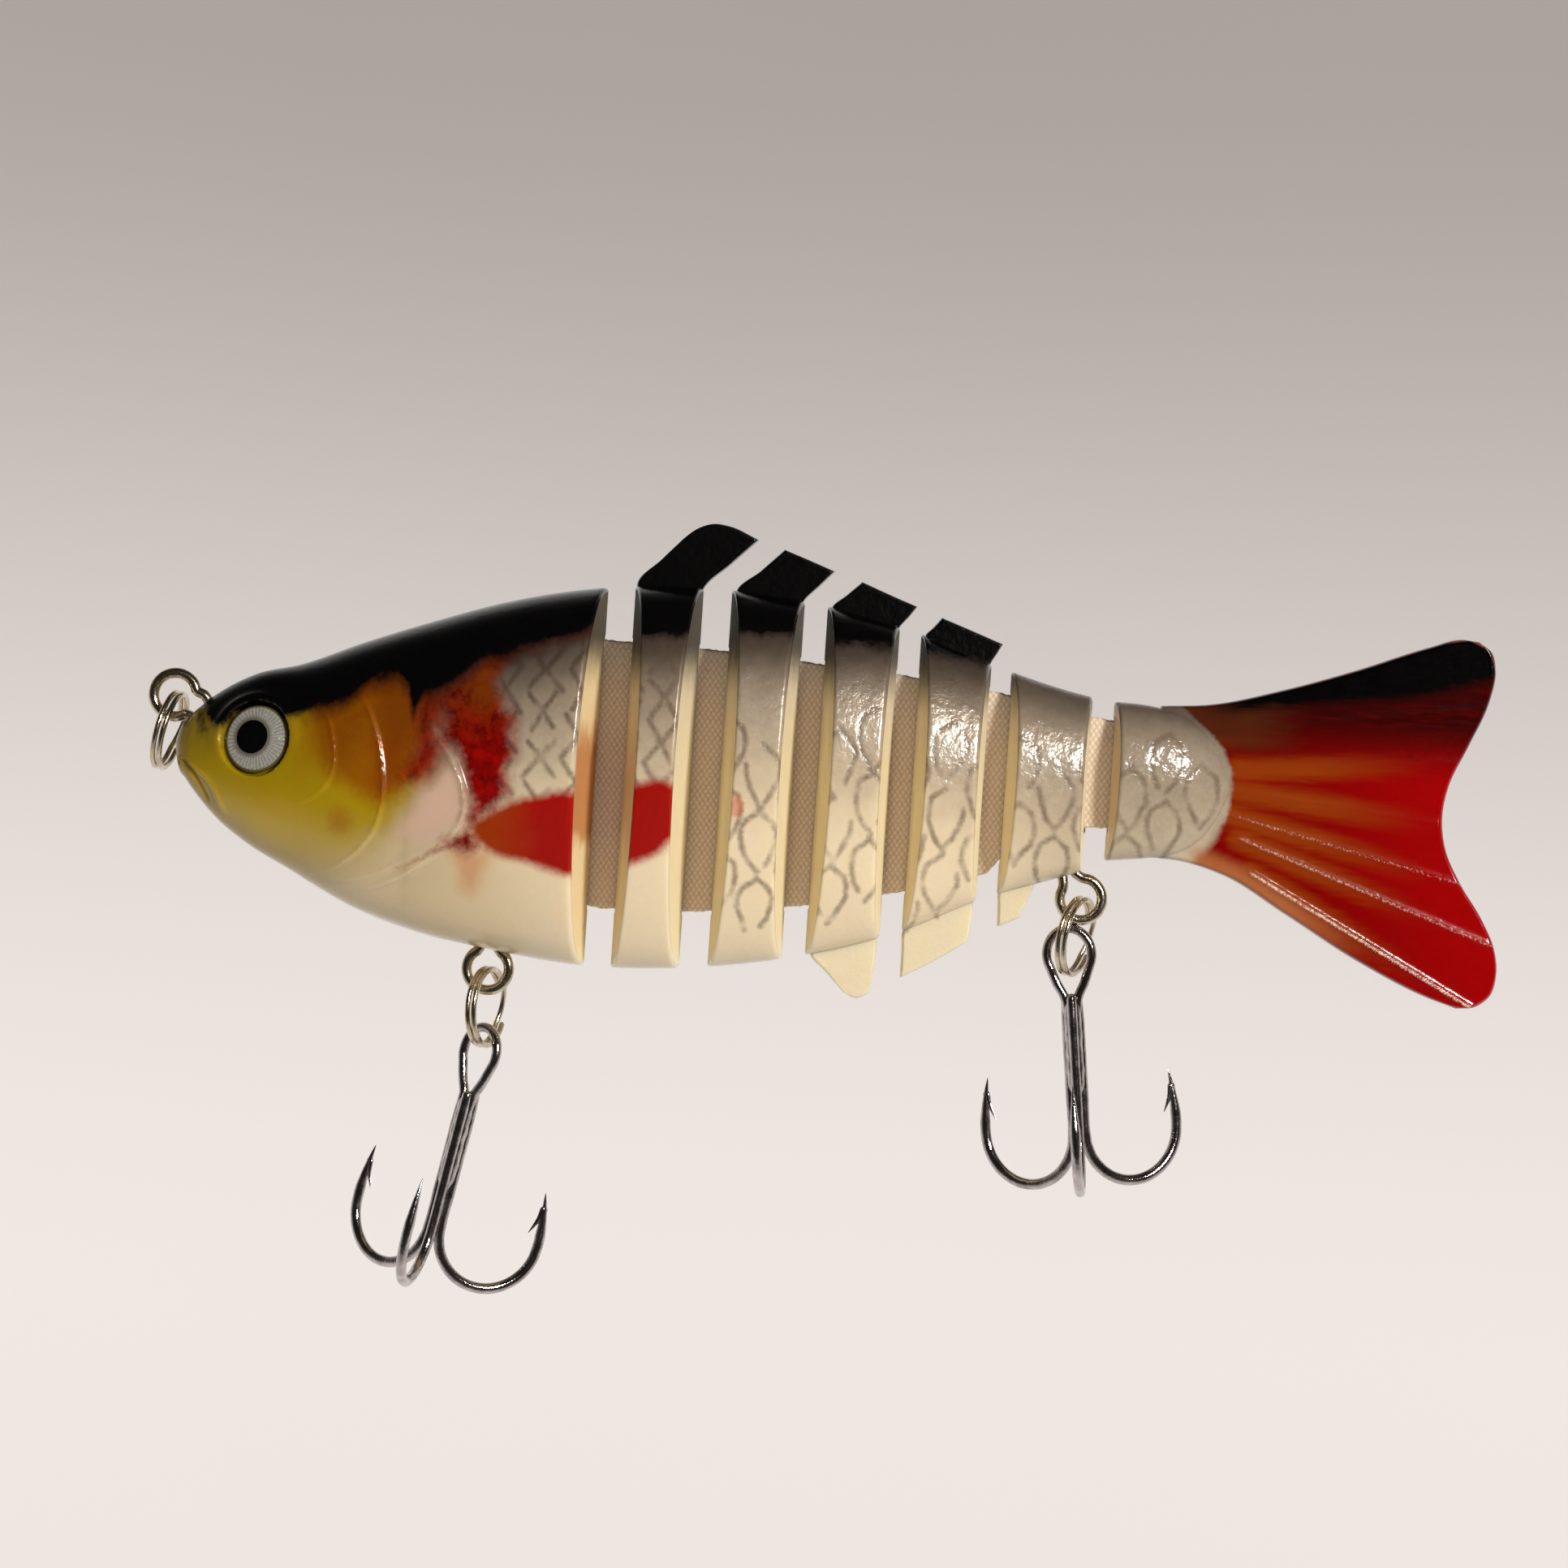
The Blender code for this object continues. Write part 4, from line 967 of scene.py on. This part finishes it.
def makeWire(name, light, dark, rough):
    finish = Finish(name, Metallic=1.0, IOR=2.0)
    at = finish.place()
    worn = finish.noise(at, 1.1, 4.0)
    scratch = finish.noise(finish.stretched(at, 1.0, 1.0, 0.3), 9.0, 3.0)
    finish.feed("Base Color", finish.mix(worn.rise(-0.9, 0.9), dark, light))
    finish.feed("Roughness", rough + worn * 0.06 + scratch * 0.04)
    finish.bump(scratch * 0.4 + worn * 0.9, 0.02, 0.8)
    return finish.material


stripShape = {"half": 0.25, "across": 0.42, "along": 0.62, "depth": 0.03, "spacing": 0.11,
              "columns": 171, "edge": 0.2, "fray": 0.035, "uvScale": 100.0}


def makeStripFinish():
    # a fine knit on the strip's own UV, in millimetres: staggered grains from two slanted waves
    finish = Finish("woven strip cloth", Roughness=0.92, Sheen_Weight=0.35, Sheen_Roughness=0.5,
                    Subsurface_Weight=0.15, Subsurface_Scale=0.0008)
    uv = finish.node("UVMap", {"uv_map": "UVMap"})
    at = finish.node("VectorMath", {"operation": "SCALE"}, {0: uv, "Scale": stripShape["uvScale"]})
    u, v, _ = finish.axes(at)
    fuzz = finish.noise(at, 3.0, 4.0, 0.7)
    broad = finish.noise(at, 0.35, 2.0)
    across = (u + fuzz * 0.04) / stripShape["across"]
    along = (v + fuzz * 0.04) / stripShape["along"]
    height = ((across + along).wrap(1.0) - 0.5) * ((across - along).wrap(1.0) - 0.5) * 4.0
    height = (height + fuzz * 0.25).rise(-0.7, 0.7)
    colour = finish.mix(height, tint(142, 118, 96), tint(224, 204, 178))
    colour = finish.mix((fuzz * 0.6 + broad * 0.6).rise(-0.9, 1.1) * 0.35, colour,
                        tint(226, 208, 184))
    finish.feed("Base Color", colour)
    finish.bump(height * 0.5 + fuzz * 0.5, 0.05, 0.8)
    return finish.material


def makeEyeFoil(side):
    # a pupil, a pearly ring with fine spokes, and an olive outline, by distance in the disc
    finish = Finish(f"eye foil {'left' if side < 0 else 'right'}", Roughness=0.28,
                    Specular_IOR_Level=0.2, IOR=1.5)
    centre, forward, up, _ = eyeFrame(side)
    at = finish.place()
    offset = finish.node("VectorMath", {"operation": "SUBTRACT"}, {0: at, 1: tuple(centre)})
    a, b = (finish.node("VectorMath", {"operation": "DOT_PRODUCT"}, {0: offset, 1: tuple(way)},
                        "Value") for way in (forward, up))
    fine = finish.noise(at, 5.0, 4.0, 0.7)
    reach = (a ** 2.0 + b ** 2.0) ** 0.5
    pupil = ((a - 0.32) ** 2.0 + (b - 0.12) ** 2.0) ** 0.5 + fine * 0.03
    angle = finish.node("Math", {"operation": "ARCTAN2"}, {0: b, 1: a})
    spokes = finish.node("Math", {"operation": "SINE"}, {0: angle * 46.0 + fine * 3.0})
    silver = finish.coats(tint(176, 170, 158),
                          ((spokes * 0.5 + fine * 0.6).rise(-0.9, 1.1), (232, 228, 218)))
    silver = finish.mix(pupil.rise(1.3, 1.75), tint(128, 120, 106), silver)
    colour = finish.coats(silver, (reach.rise(2.32, 2.42), (112, 100, 52)))
    colour = finish.mix(pupil.rise(1.24, 1.34), tint(2, 2, 2), colour)
    finish.feed("Base Color", colour)
    finish.feed("Metallic", pupil.rise(1.24, 1.4) * 0.45)
    finish.feed("Roughness", 0.25 + fine * 0.06)
    finish.bump(spokes * 0.15 + fine * 0.3, 0.015, 0.6)
    return finish.material


def makeLens():
    # clear resin: more of it shows where it is seen edge on
    finish = Finish("eye lens resin", Roughness=0.03, IOR=1.5, Coat_Weight=1.0,
                    Coat_Roughness=0.02)
    at = finish.place()
    edge = finish.node("LayerWeight", None, {"Blend": 0.35}, "Fresnel")
    fine = finish.noise(at, 2.0, 2.0)
    finish.feed("Base Color", finish.mix(fine.rise(-1.0, 1.0), tint(24, 24, 26),
                                         tint(44, 44, 46)))
    finish.feed("Alpha", edge * 0.08 + 0.03)
    return finish.material


def makeLead():
    finish = Finish("cast lead", Metallic=1.0)
    at = finish.place()
    rough = finish.noise(at, 1.2, 5.0, 0.65)
    finish.feed("Base Color", finish.mix(rough.rise(-1.0, 1.0), tint(96, 96, 100),
                                         tint(150, 150, 154)))
    finish.feed("Roughness", 0.55 + rough * 0.12)
    finish.bump(rough, 0.08, 0.8)
    return finish.material


finishes = {
    "head": makeShellFinish("head"),
    "body": makeShellFinish("body"),
    "tail": makeTailFinish(),
    "strip": makeStripFinish(),
    "nickel": makeWire("nickel", tint(226, 212, 188), tint(176, 160, 134), 0.2),
    "blackNickel": makeWire("black nickel", tint(214, 204, 200), tint(150, 140, 138), 0.13),
    "lens": makeLens(),
    "lead": makeLead(),
}
print("finishes ready")

# shells
sides = {"left": -1, "right": 1}
for label, side in sides.items():
    skin = halfShell(headShape, side)
    piece = skin.write(f"head_{label}", headPaint)
    fit(piece, finishes["head"], [f"head_shell_{label}"], "head")
    for name, ends in segmentEnds.items():
        shape = {
            "knots": bodyKnots, "ends": ends, "radii": (0.22, 0.3),
            "slopes": (faceSlope, faceSlope), "spacing": 0.17, "around": 128,
            "rows": (30, 69, 30), "hollow": (ends[0] + 1.2, ends[1] - 1.2), "slot": (-9.0, 99.0),
        }
        skin = halfShell(shape, side)
        for fins, counts in ((dorsalFins, (44, 40)), (lowerFins, (34, 34))):
            if name in fins:
                addPlate(skin, fins[name], side, 0.6, counts, bodyGap + 0.03, 0.22)
        piece = skin.write(f"{name}_{label}_skin", bodyPaint)
        fit(piece, finishes["body"], [f"{name}_{label}"], name)
    skin = halfShell(tailShape, side)
    addPlate(skin, tailFin, side, 0.85, (170, 150), bodyGap + 0.03, 0.45, rayRelief)
    piece = skin.write(f"tail_{label}", tailPaint)
    fit(piece, finishes["tail"], [f"tail_half_{label}"], "tail")
print("shells ready")


# eyes: profiles of radius and height, a crown out to the first radius and then the edge
eyePieces = {
    "foil": {"finish": None, "cad": "eye_disc", "radius": 2.5, "base": -0.5, "crown": 0.16,
             "power": 2, "edge": [(2.52, -0.54), (2.52, -0.78), (2.4, -0.8), (0.0, -0.8)]},
    "lens": {"finish": finishes["lens"], "cad": "eye_dome", "radius": 2.46, "base": -0.15,
             "crown": 0.95, "power": 2.3, "edge": [(2.44, -0.2), (2.3, -0.25), (0.0, -0.25)]},
}


def turnedEye(spec, side, around=72):
    # height = base + crown (1 - (r / radius)^power), then the edge, turned round the eye's
    # axis: centre + r (cos a forward + sin a up) + h out
    centre, forward, up, out = eyeFrame(side)
    if spec["power"] == 2:
        reach = np.linspace(0.0, spec["radius"], 40)
    else:
        reach = spec["radius"] * np.sin(np.linspace(0.0, math.pi / 2, 44))
    height = spec["base"] + spec["crown"] * (1 - (reach / spec["radius"]) ** spec["power"])
    profile = np.concatenate([np.stack([reach, height], axis=1), spec["edge"]])
    angle = np.linspace(0.0, 2 * math.pi, around + 1)[None, :, None]
    radius, height = profile[:, 0][:, None, None], profile[:, 1][:, None, None]
    return centre + radius * (np.cos(angle) * forward + np.sin(angle) * up) + height * out


for label, side in sides.items():
    for name, spec in eyePieces.items():
        skin = Skin()
        skin.addGrid(turnedEye(spec, side))
        fit(skin.write(f"eye_{name}_{label}", sharpDegrees=60),
            spec["finish"] or makeEyeFoil(side), [f"{spec['cad']}_{label}"], "head")
print("eyes ready")


# wires

def addWire(skin, path, across, radius, flat=1.0, around=20):
    # point = path + r (cos a * side + flat * sin a * across), where side is square to the path
    # in the wire's plane; each end closes with a quarter circle
    tangent = np.gradient(path, axis=0)
    tangent /= np.linalg.norm(tangent, axis=1, keepdims=True)
    radius = np.broadcast_to(radius, len(path))
    turn = np.linspace(0.0, math.pi / 2, 6)[1:]
    heads = [(path[0] - tangent[0] * radius[0] * math.sin(t), radius[0] * math.cos(t))
             for t in turn[::-1]]
    tails = [(path[-1] + tangent[-1] * radius[-1] * math.sin(t), radius[-1] * math.cos(t))
             for t in turn]
    path = np.concatenate([[p for p, _ in heads], path, [p for p, _ in tails]])
    radius = np.concatenate([[r for _, r in heads], radius, [r for _, r in tails]])
    tangent = np.concatenate([[tangent[0]] * len(heads), tangent, [tangent[-1]] * len(tails)])
    side = np.cross(np.broadcast_to(across, tangent.shape), tangent)
    side /= np.linalg.norm(side, axis=1, keepdims=True)
    other = np.cross(tangent, side)
    angle = np.linspace(0.0, 2 * math.pi, around + 1)[None, :, None]
    reach = np.maximum(radius, 0.0)[:, None, None]
    skin.addGrid(path[:, None] + reach * (np.cos(angle) * side[:, None]
                                          + flat * np.sin(angle) * other[:, None]))


def arc(centre, radius, first, last, count):
    # points in X and Z round a centre, from the first angle to the last, in degrees
    angle = np.radians(np.linspace(first, last, count))
    return list(zip(centre[0] + radius * np.cos(angle), centre[1] + radius * np.sin(angle)))


def inMiddle(points):
    points = np.asarray(points, float)
    return np.stack([points[:, 0], np.zeros(len(points)), points[:, 1]], axis=1)


tie = {"wire": 0.41, "loop": 1.64,
       "lower": [(5.9, -3.6), (5.5, -2.5), (3.4, -2.2), (1.7, -1.75)],
       "upper": [(2.2, 0.1), (2.6, -0.35), (3.5, -0.75), (5.3, -0.95), (5.9, -0.2)]}
hanger = {"wire": 0.40, "loop": 1.60, "leg": 3.3, "open": 58.0, "foot": 1.5}
loopPath = tie["lower"] + arc((0.0, 0.0), tie["loop"], -62.0, -345.0, 18) + tie["upper"]
skin = Skin()
addWire(skin, smoothCurve(inMiddle(loopPath), 260), (0.0, 1.0, 0.0), tie["wire"])
fit(skin.write("line_tie"), finishes["nickel"], ["line_tie_wire"], "head")

for name, node, body, centre, lean in (
        ("belly_hanger", "belly_hanger_wire", "head", (24.95, -19.15), 0.0),
        ("rear_hanger", "rear_hanger_wire", "segment_6", (69.40, -10.90), 31.0)):
    loop, opening = hanger["loop"], hanger["open"]
    spread = loop * math.cos(math.radians(opening))
    high = loop * math.sin(math.radians(opening)) + hanger["leg"]
    right = [(spread + hanger["foot"], high), (spread + 0.4, high), (spread, high - 0.4)]
    left = [(-a, b) for a, b in right[::-1]]
    flat = np.array(right + arc((0.0, 0.0), loop, opening, -180.0 - opening, 16) + left)
    c, s = math.cos(math.radians(lean)), math.sin(math.radians(lean))
    turned = flat @ np.array([(c, s), (-s, c)]) + np.array(centre)
    skin = Skin()
    addWire(skin, smoothCurve(inMiddle(turned), 260), (0.0, 1.0, 0.0), hanger["wire"])
    fit(skin.write(name), finishes["nickel"], [node], body)


def hangingFrame(lean, turn):
    # down, sideways and forward directions of a piece that hangs in the middle plane
    lean, turn = math.radians(lean), math.radians(turn)
    down = np.array([-math.sin(lean), 0.0, -math.cos(lean)])
    flat = np.array([0.0, 1.0, 0.0])
    side = flat * math.cos(turn) + np.cross(down, flat) * math.sin(turn)
    return down, side, np.cross(side, down)


ringShape = {"radius": 2.87, "wire": 0.235, "flat": 0.86, "offset": 0.25}
rings = {
    "nose": ((0.35, 0.10), 12.0, 6.0, "nose_ring"),
    "belly": ((25.05, -19.15), 0.0, 20.0, "belly_ring"),
    "rear": ((69.60, -10.90), 8.0, 25.0, "rear_ring"),
}
# two turns of wire round the ring's centre, which cross from one side to the other half way
for name, (top, lean, turn, body) in rings.items():
    down, side, normal = hangingFrame(lean, turn)
    centre = np.array([top[0], 0.0, top[1]]) + down * ringShape["radius"]
    degrees = np.linspace(30.0, 690.0, 420)
    angle = np.radians(degrees)[:, None]
    shift = np.clip((degrees - 360.0) / 30.0, -1.0, 1.0)[:, None] * ringShape["offset"]
    path = centre + ringShape["radius"] * (np.cos(angle) * side + np.sin(angle) * down)
    skin = Skin()
    addWire(skin, path + shift * normal, normal, ringShape["wire"], ringShape["flat"], 16)
    fit(skin.write(f"{name}_ring_coil", sharpDegrees=70), finishes["nickel"],
        [f"{name}_split_ring"], body)

hookShape = {
    "wire": 0.42, "split": 0.53, "bend": 3.95, "bendDepth": 15.5, "neck": 5.3,
    "prongs": (180.0, 60.0, -60.0),
    "point": [(-0.06, 14.0), (-0.16, 13.0), (-0.28, 12.2), (-0.45, 11.3)],
    "barb": [(-0.26, 12.6), (-0.44, 13.3), (-0.70, 13.9), (-1.00, 14.5)],
    "eyeWire": 0.37, "eyeHalf": 1.70, "eyeDepth": 1.95, "eyeDegrees": 118.0,
    "eyeLegs": [(0.22, 8.4), (0.30, 6.6), (0.52, 5.2), (1.05, 4.1)],
    "solder": 0.62,
}
hooks = {
    "belly": ((25.15, -23.60), 11.0, 40.0, 9.0, "belly_hook"),
    "rear": ((68.55, -13.20), -7.0, 5.0, 6.0, "rear_hook"),
}


def prongOutline(tip):
    # distance out of the shank and depth: a shank, a half circle, and a point leaning in
    split, bend = hookShape["split"], hookShape["bend"]
    shank = [(split * 0.86, hookShape["neck"]), (split, 7.0), (split, 10.0), (split, 12.6)]
    bow = arc((split + bend, hookShape["bendDepth"]), bend, 180.0, 0.0, 13)
    point = [(tip + a, b) for a, b in hookShape["point"]]
    return smoothCurve(np.array(shank + bow + point), 300)


def eyeOutline():
    # two legs that meet in a loop: half width sin(a) and depth 1 - cos(a)
    legs = hookShape["eyeLegs"]
    turn = np.radians(np.linspace(hookShape["eyeDegrees"], -hookShape["eyeDegrees"], 21))
    loop = list(zip(hookShape["eyeHalf"] * np.sin(turn),
                    hookShape["eyeDepth"] * (1 - np.cos(turn))))
    return smoothCurve(np.array(legs + loop + [(-a, b) for a, b in legs[::-1]]), 260)


for name, (place, lean, eyeTurn, prongTurn, body) in hooks.items():
    top = np.array([place[0], 0.0, place[1]])
    down, side, normal = hangingFrame(lean, prongTurn)
    _, _, eyeSide = hangingFrame(lean, eyeTurn)
    tip = hookShape["split"] + 2 * hookShape["bend"]
    flat = prongOutline(tip)
    barb = smoothCurve(np.array(hookShape["barb"]) + (tip, 0.0), 24)
    skin = Skin()
    for azimuth in hookShape["prongs"]:
        turn = math.radians(azimuth)
        out = math.cos(turn) * side + math.sin(turn) * normal
        across = np.cross(out, down)
        left = np.linspace(1.0, 0.0, len(flat))
        taper = hookShape["wire"] * np.minimum(1.0, 0.05 + (left * 7.4) ** 0.8)
        addWire(skin, top + flat[:, :1] * out + flat[:, 1:] * down, across, taper, 0.92, 22)
        spur = top + barb[:, :1] * out + barb[:, 1:] * down
        addWire(skin, spur, across, np.linspace(0.32, 0.03, 24), 0.6, 14)
    eye = eyeOutline()
    path = top + eye[:, :1] * eyeSide + eye[:, 1:] * down
    addWire(skin, path, np.cross(eyeSide, down), hookShape["eyeWire"])
    # solder that fills between the three shank wires
    neck = hookShape["neck"]
    s = np.linspace(neck + 0.2, 13.6, 60)
    width = hookShape["solder"] * fade(neck - 0.9, 6.2, s) * fade(0.0, 2.4, 13.9 - s) + 0.05
    width = width + 0.03 * np.sin(s * 3.7) * np.sin(s * 1.3)
    addWire(skin, top + s[:, None] * down, normal, width, 1.0, 24)
    fit(skin.write(f"{name}_hook", sharpDegrees=55), finishes["blackNickel"],
        [f"{name}_treble_hook"], body)
print("wires ready")

# woven strips: one across each gap, from the middle of one body to the middle of the next
bodySpans = [(26.6, 32.2), *segmentEnds.values(), (70.95, 76.2)]
stripNodes = ["head", "2", "3", "4", "5", "6", "tail"]


def wovenStrip(name, start, end):
    # y = ±(half - depth + depth * weave), the weave being a half plus half the product of
    # cos(a + b) and cos(a - b), a running across the gap and b down it; its edges are rounded
    across = np.linspace(start, end, int((end - start) / stripShape["spacing"]))
    top = np.interp(across, stripKnots[:, 0], stripKnots[:, 1])
    bottom = np.interp(across, stripKnots[:, 0], stripKnots[:, 2])
    v = np.linspace(0.0, 1.0, stripShape["columns"])[None, :]
    x = np.broadcast_to(across[:, None], (len(across), v.shape[1]))
    z = top[:, None] * (1 - v) + bottom[:, None] * v
    warp, weft = math.pi * x / stripShape["across"], math.pi * z / stripShape["along"]
    weave = 0.5 + 0.5 * np.cos(warp + weft) * np.cos(warp - weft)
    frayed = stripShape["fray"] * np.sin(7.3 * x + 2.1 * np.sin(3.1 * x)) * ((v == 0) | (v == 1))
    near = np.minimum(np.minimum(v, 1 - v) * (top - bottom)[:, None],
                      np.minimum(x - start, end - x))
    swell = np.sqrt(1.0 - np.clip(1.0 - near / stripShape["edge"], 0.0, 1.0) ** 2)
    half = (stripShape["half"] - stripShape["depth"] + stripShape["depth"] * weave) * swell
    skin = Skin()
    for side in (-1, 1):
        skin.addGrid(np.stack([x, side * half, z + frayed], axis=-1))
    return skin.write(name, sharpDegrees=70,
                      uv=lambda points: points[:, [0, 2]] / stripShape["uvScale"])


for i in range(6):
    (start0, end0), (start1, end1) = bodySpans[i], bodySpans[i + 1]
    start = (start0 + end0) / 2 + 0.2 if i else start0
    end = (start1 + end1) / 2 - 0.2 if i < 5 else end1
    piece = wovenStrip(f"woven_strip_{i + 1}", start, end)
    nodes = [f"hinge_strip_{stripNodes[i]}"] + ([f"hinge_strip_{stripNodes[6]}"] if i == 5 else [])
    fit(piece, finishes["strip"], nodes)
    (end0 - 0.3) * mm
    (start1 + 0.3) * mm
    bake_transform(piece)
print("strips ready")

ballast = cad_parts["head_ballast"]
ballast.data.materials.clear()
ballast.data.materials.append(finishes["lead"])


# stage, light and camera, in metres
stageShape = {"floor": -0.75, "radius": 1.1, "cove": 0.7, "wall": 1.9, "glow": 0.76}
viewCentre = (0.0464, 0.0, -0.0037)
view = {"lens": 91.0, "sensor": 36.0, "distance": 0.300, "rollDegrees": 3.8}
# name, place, width, power, colour, and whether it shows in glossy surfaces
lights = [
    ("key light", (0.37, -0.52, 0.19), 0.12, 4.4, (1.0, 0.97, 0.93), True),
    ("soft fill", (0.05, -0.60, -0.30), 0.5, 1.2, (1.0, 0.98, 0.96), False),
    ("rear light", (-0.2, 0.6, 0.5), 0.4, 1.6, (0.98, 0.98, 1.0), False),
]


def makeStage():
    # a floor that curves up into a wall all round: a profile of radius and height turned about Z
    flat, bend, level = stageShape["radius"], stageShape["cove"], stageShape["floor"]
    turn = np.linspace(0.0, math.pi / 2, 24)
    cove = np.stack([flat + bend * np.sin(turn), level + bend * (1 - np.cos(turn))], axis=1)
    profile = np.concatenate([[(0.0, level)], cove, [(flat + bend, stageShape["wall"])]])
    angle = np.linspace(0.0, 2 * math.pi, 97)[None, :]
    radius, height = profile[:, :1], profile[:, 1:]
    grid = np.stack([radius * np.cos(angle), radius * np.sin(angle),
                     np.broadcast_to(height, (len(profile), 97))], axis=-1)
    rows, columns = grid.shape[:2]
    index = np.arange(rows * columns).reshape(rows, columns)
    quads = np.stack([index[:-1, :-1], index[:-1, 1:], index[1:, 1:], index[1:, :-1]], axis=-1)
    mesh = bpy.data.meshes.new("floor")
    mesh.from_pydata(grid.reshape(-1, 3).tolist(), [], quads.reshape(-1, 4).tolist())
    mesh.shade_smooth()
    floor = bpy.data.objects.new("floor", mesh)
    bpy.context.scene.collection.objects.link(floor)
    floor.visible_glossy = False
    floor.visible_diffuse = False
    # the pale paper glows: painted light, brighter low on the floor and darker up the wall, that
    # lights nothing else
    finish = Finish("pale paper", Roughness=0.9, Emission_Strength=stageShape["glow"])
    at = finish.place()
    grain = finish.noise(at, 0.004, 4.0)
    finish.feed("Base Color", finish.coats(tint(228, 221, 216),
                                           (grain.rise(-1.0, 1.0), (232, 226, 221))))
    _, _, z = finish.axes(at)
    finish.feed("Emission Color", finish.coats(tint(255, 247, 242),
                                               (z.rise(-300.0, 420.0), (162, 152, 148))))
    mesh.materials.append(finish.material)
    floor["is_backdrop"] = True


def standing(right, up, back, place):
    # a lamp's or camera's own directions as the columns of its matrix
    columns = np.stack([right, up, back, place], axis=1)
    return Matrix([*columns.tolist(), (0.0, 0.0, 0.0, 1.0)])


def addLight(name, place, size, power, colour, shines):
    # a round lamp that faces the middle of the view
    light = bpy.data.lights.new(name, "AREA")
    light.shape = "DISK"
    light.size = size
    light.energy = power
    light.color = colour
    lamp = bpy.data.objects.new(name, light)
    bpy.context.scene.collection.objects.link(lamp)
    out = unit(np.array(place) - np.array(viewCentre))
    across = unit(np.cross((0.0, 0.0, 1.0), out))
    lamp.matrix_world = standing(across, np.cross(out, across), out, place)
    lamp.visible_camera = False
    lamp.visible_glossy = shines


def makeRoom(name, facing, shades):
    # glossy surfaces see a dark room in front and above, and pale paper below and behind
    world = bpy.data.worlds.new(name)
    bpy.context.scene.world = world
    world.use_nodes = True
    tree = world.node_tree
    direction = tree.nodes.new("ShaderNodeTexCoord")
    turned = tree.nodes.new("ShaderNodeVectorMath")
    turned.operation = "DOT_PRODUCT"
    turned.inputs[1].default_value = facing
    depth = tree.nodes.new("ShaderNodeMapRange")
    depth.inputs["From Min"].default_value = -1.0
    ramp = tree.nodes.new("ShaderNodeValToRGB")
    stops = ramp.color_ramp.elements
    for place, _ in shades[1:-1]:
        stops.new(place)
    for stop, (_, colour) in zip(stops, shades):
        stop.color = (*colour, 1.0)
    tree.links.new(direction.outputs["Generated"], turned.inputs[0])
    tree.links.new(turned.outputs["Value"], depth.inputs["Value"])
    tree.links.new(depth.outputs["Result"], ramp.inputs["Fac"])
    tree.links.new(ramp.outputs["Color"], tree.nodes["Background"].inputs["Color"])


makeStage()
for light in lights:
    addLight(*light)
makeRoom("studio air", (0.0, 0.8, -0.6), [
    (0.0, (0.02, 0.02, 0.02)), (0.32, (0.03, 0.0291, 0.0282)), (0.45, (0.12, 0.1164, 0.1128)),
    (0.52, (0.5, 0.485, 0.47)), (0.7, (0.8, 0.776, 0.752)), (1.0, (0.9, 0.87, 0.85)),
])
bpy.context.scene.view_settings.view_transform = "Standard"

camera = bpy.data.objects.new("camera", bpy.data.cameras.new("camera"))
bpy.context.scene.collection.objects.link(camera)
camera.data.lens = view["lens"]
camera.data.sensor_width = view["sensor"]
camera.data.clip_start = 0.01
camera.data.clip_end = 20.0
c, s = (turn(math.radians(view["rollDegrees"])) for turn in (math.cos, math.sin))
place = (viewCentre[0], -view["distance"], viewCentre[2])
camera.matrix_world = standing((c, 0.0, s), (-s, 0.0, c), (0.0, -1.0, 0.0), place)
bpy.context.scene.camera = camera
print("stage ready")

low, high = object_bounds()
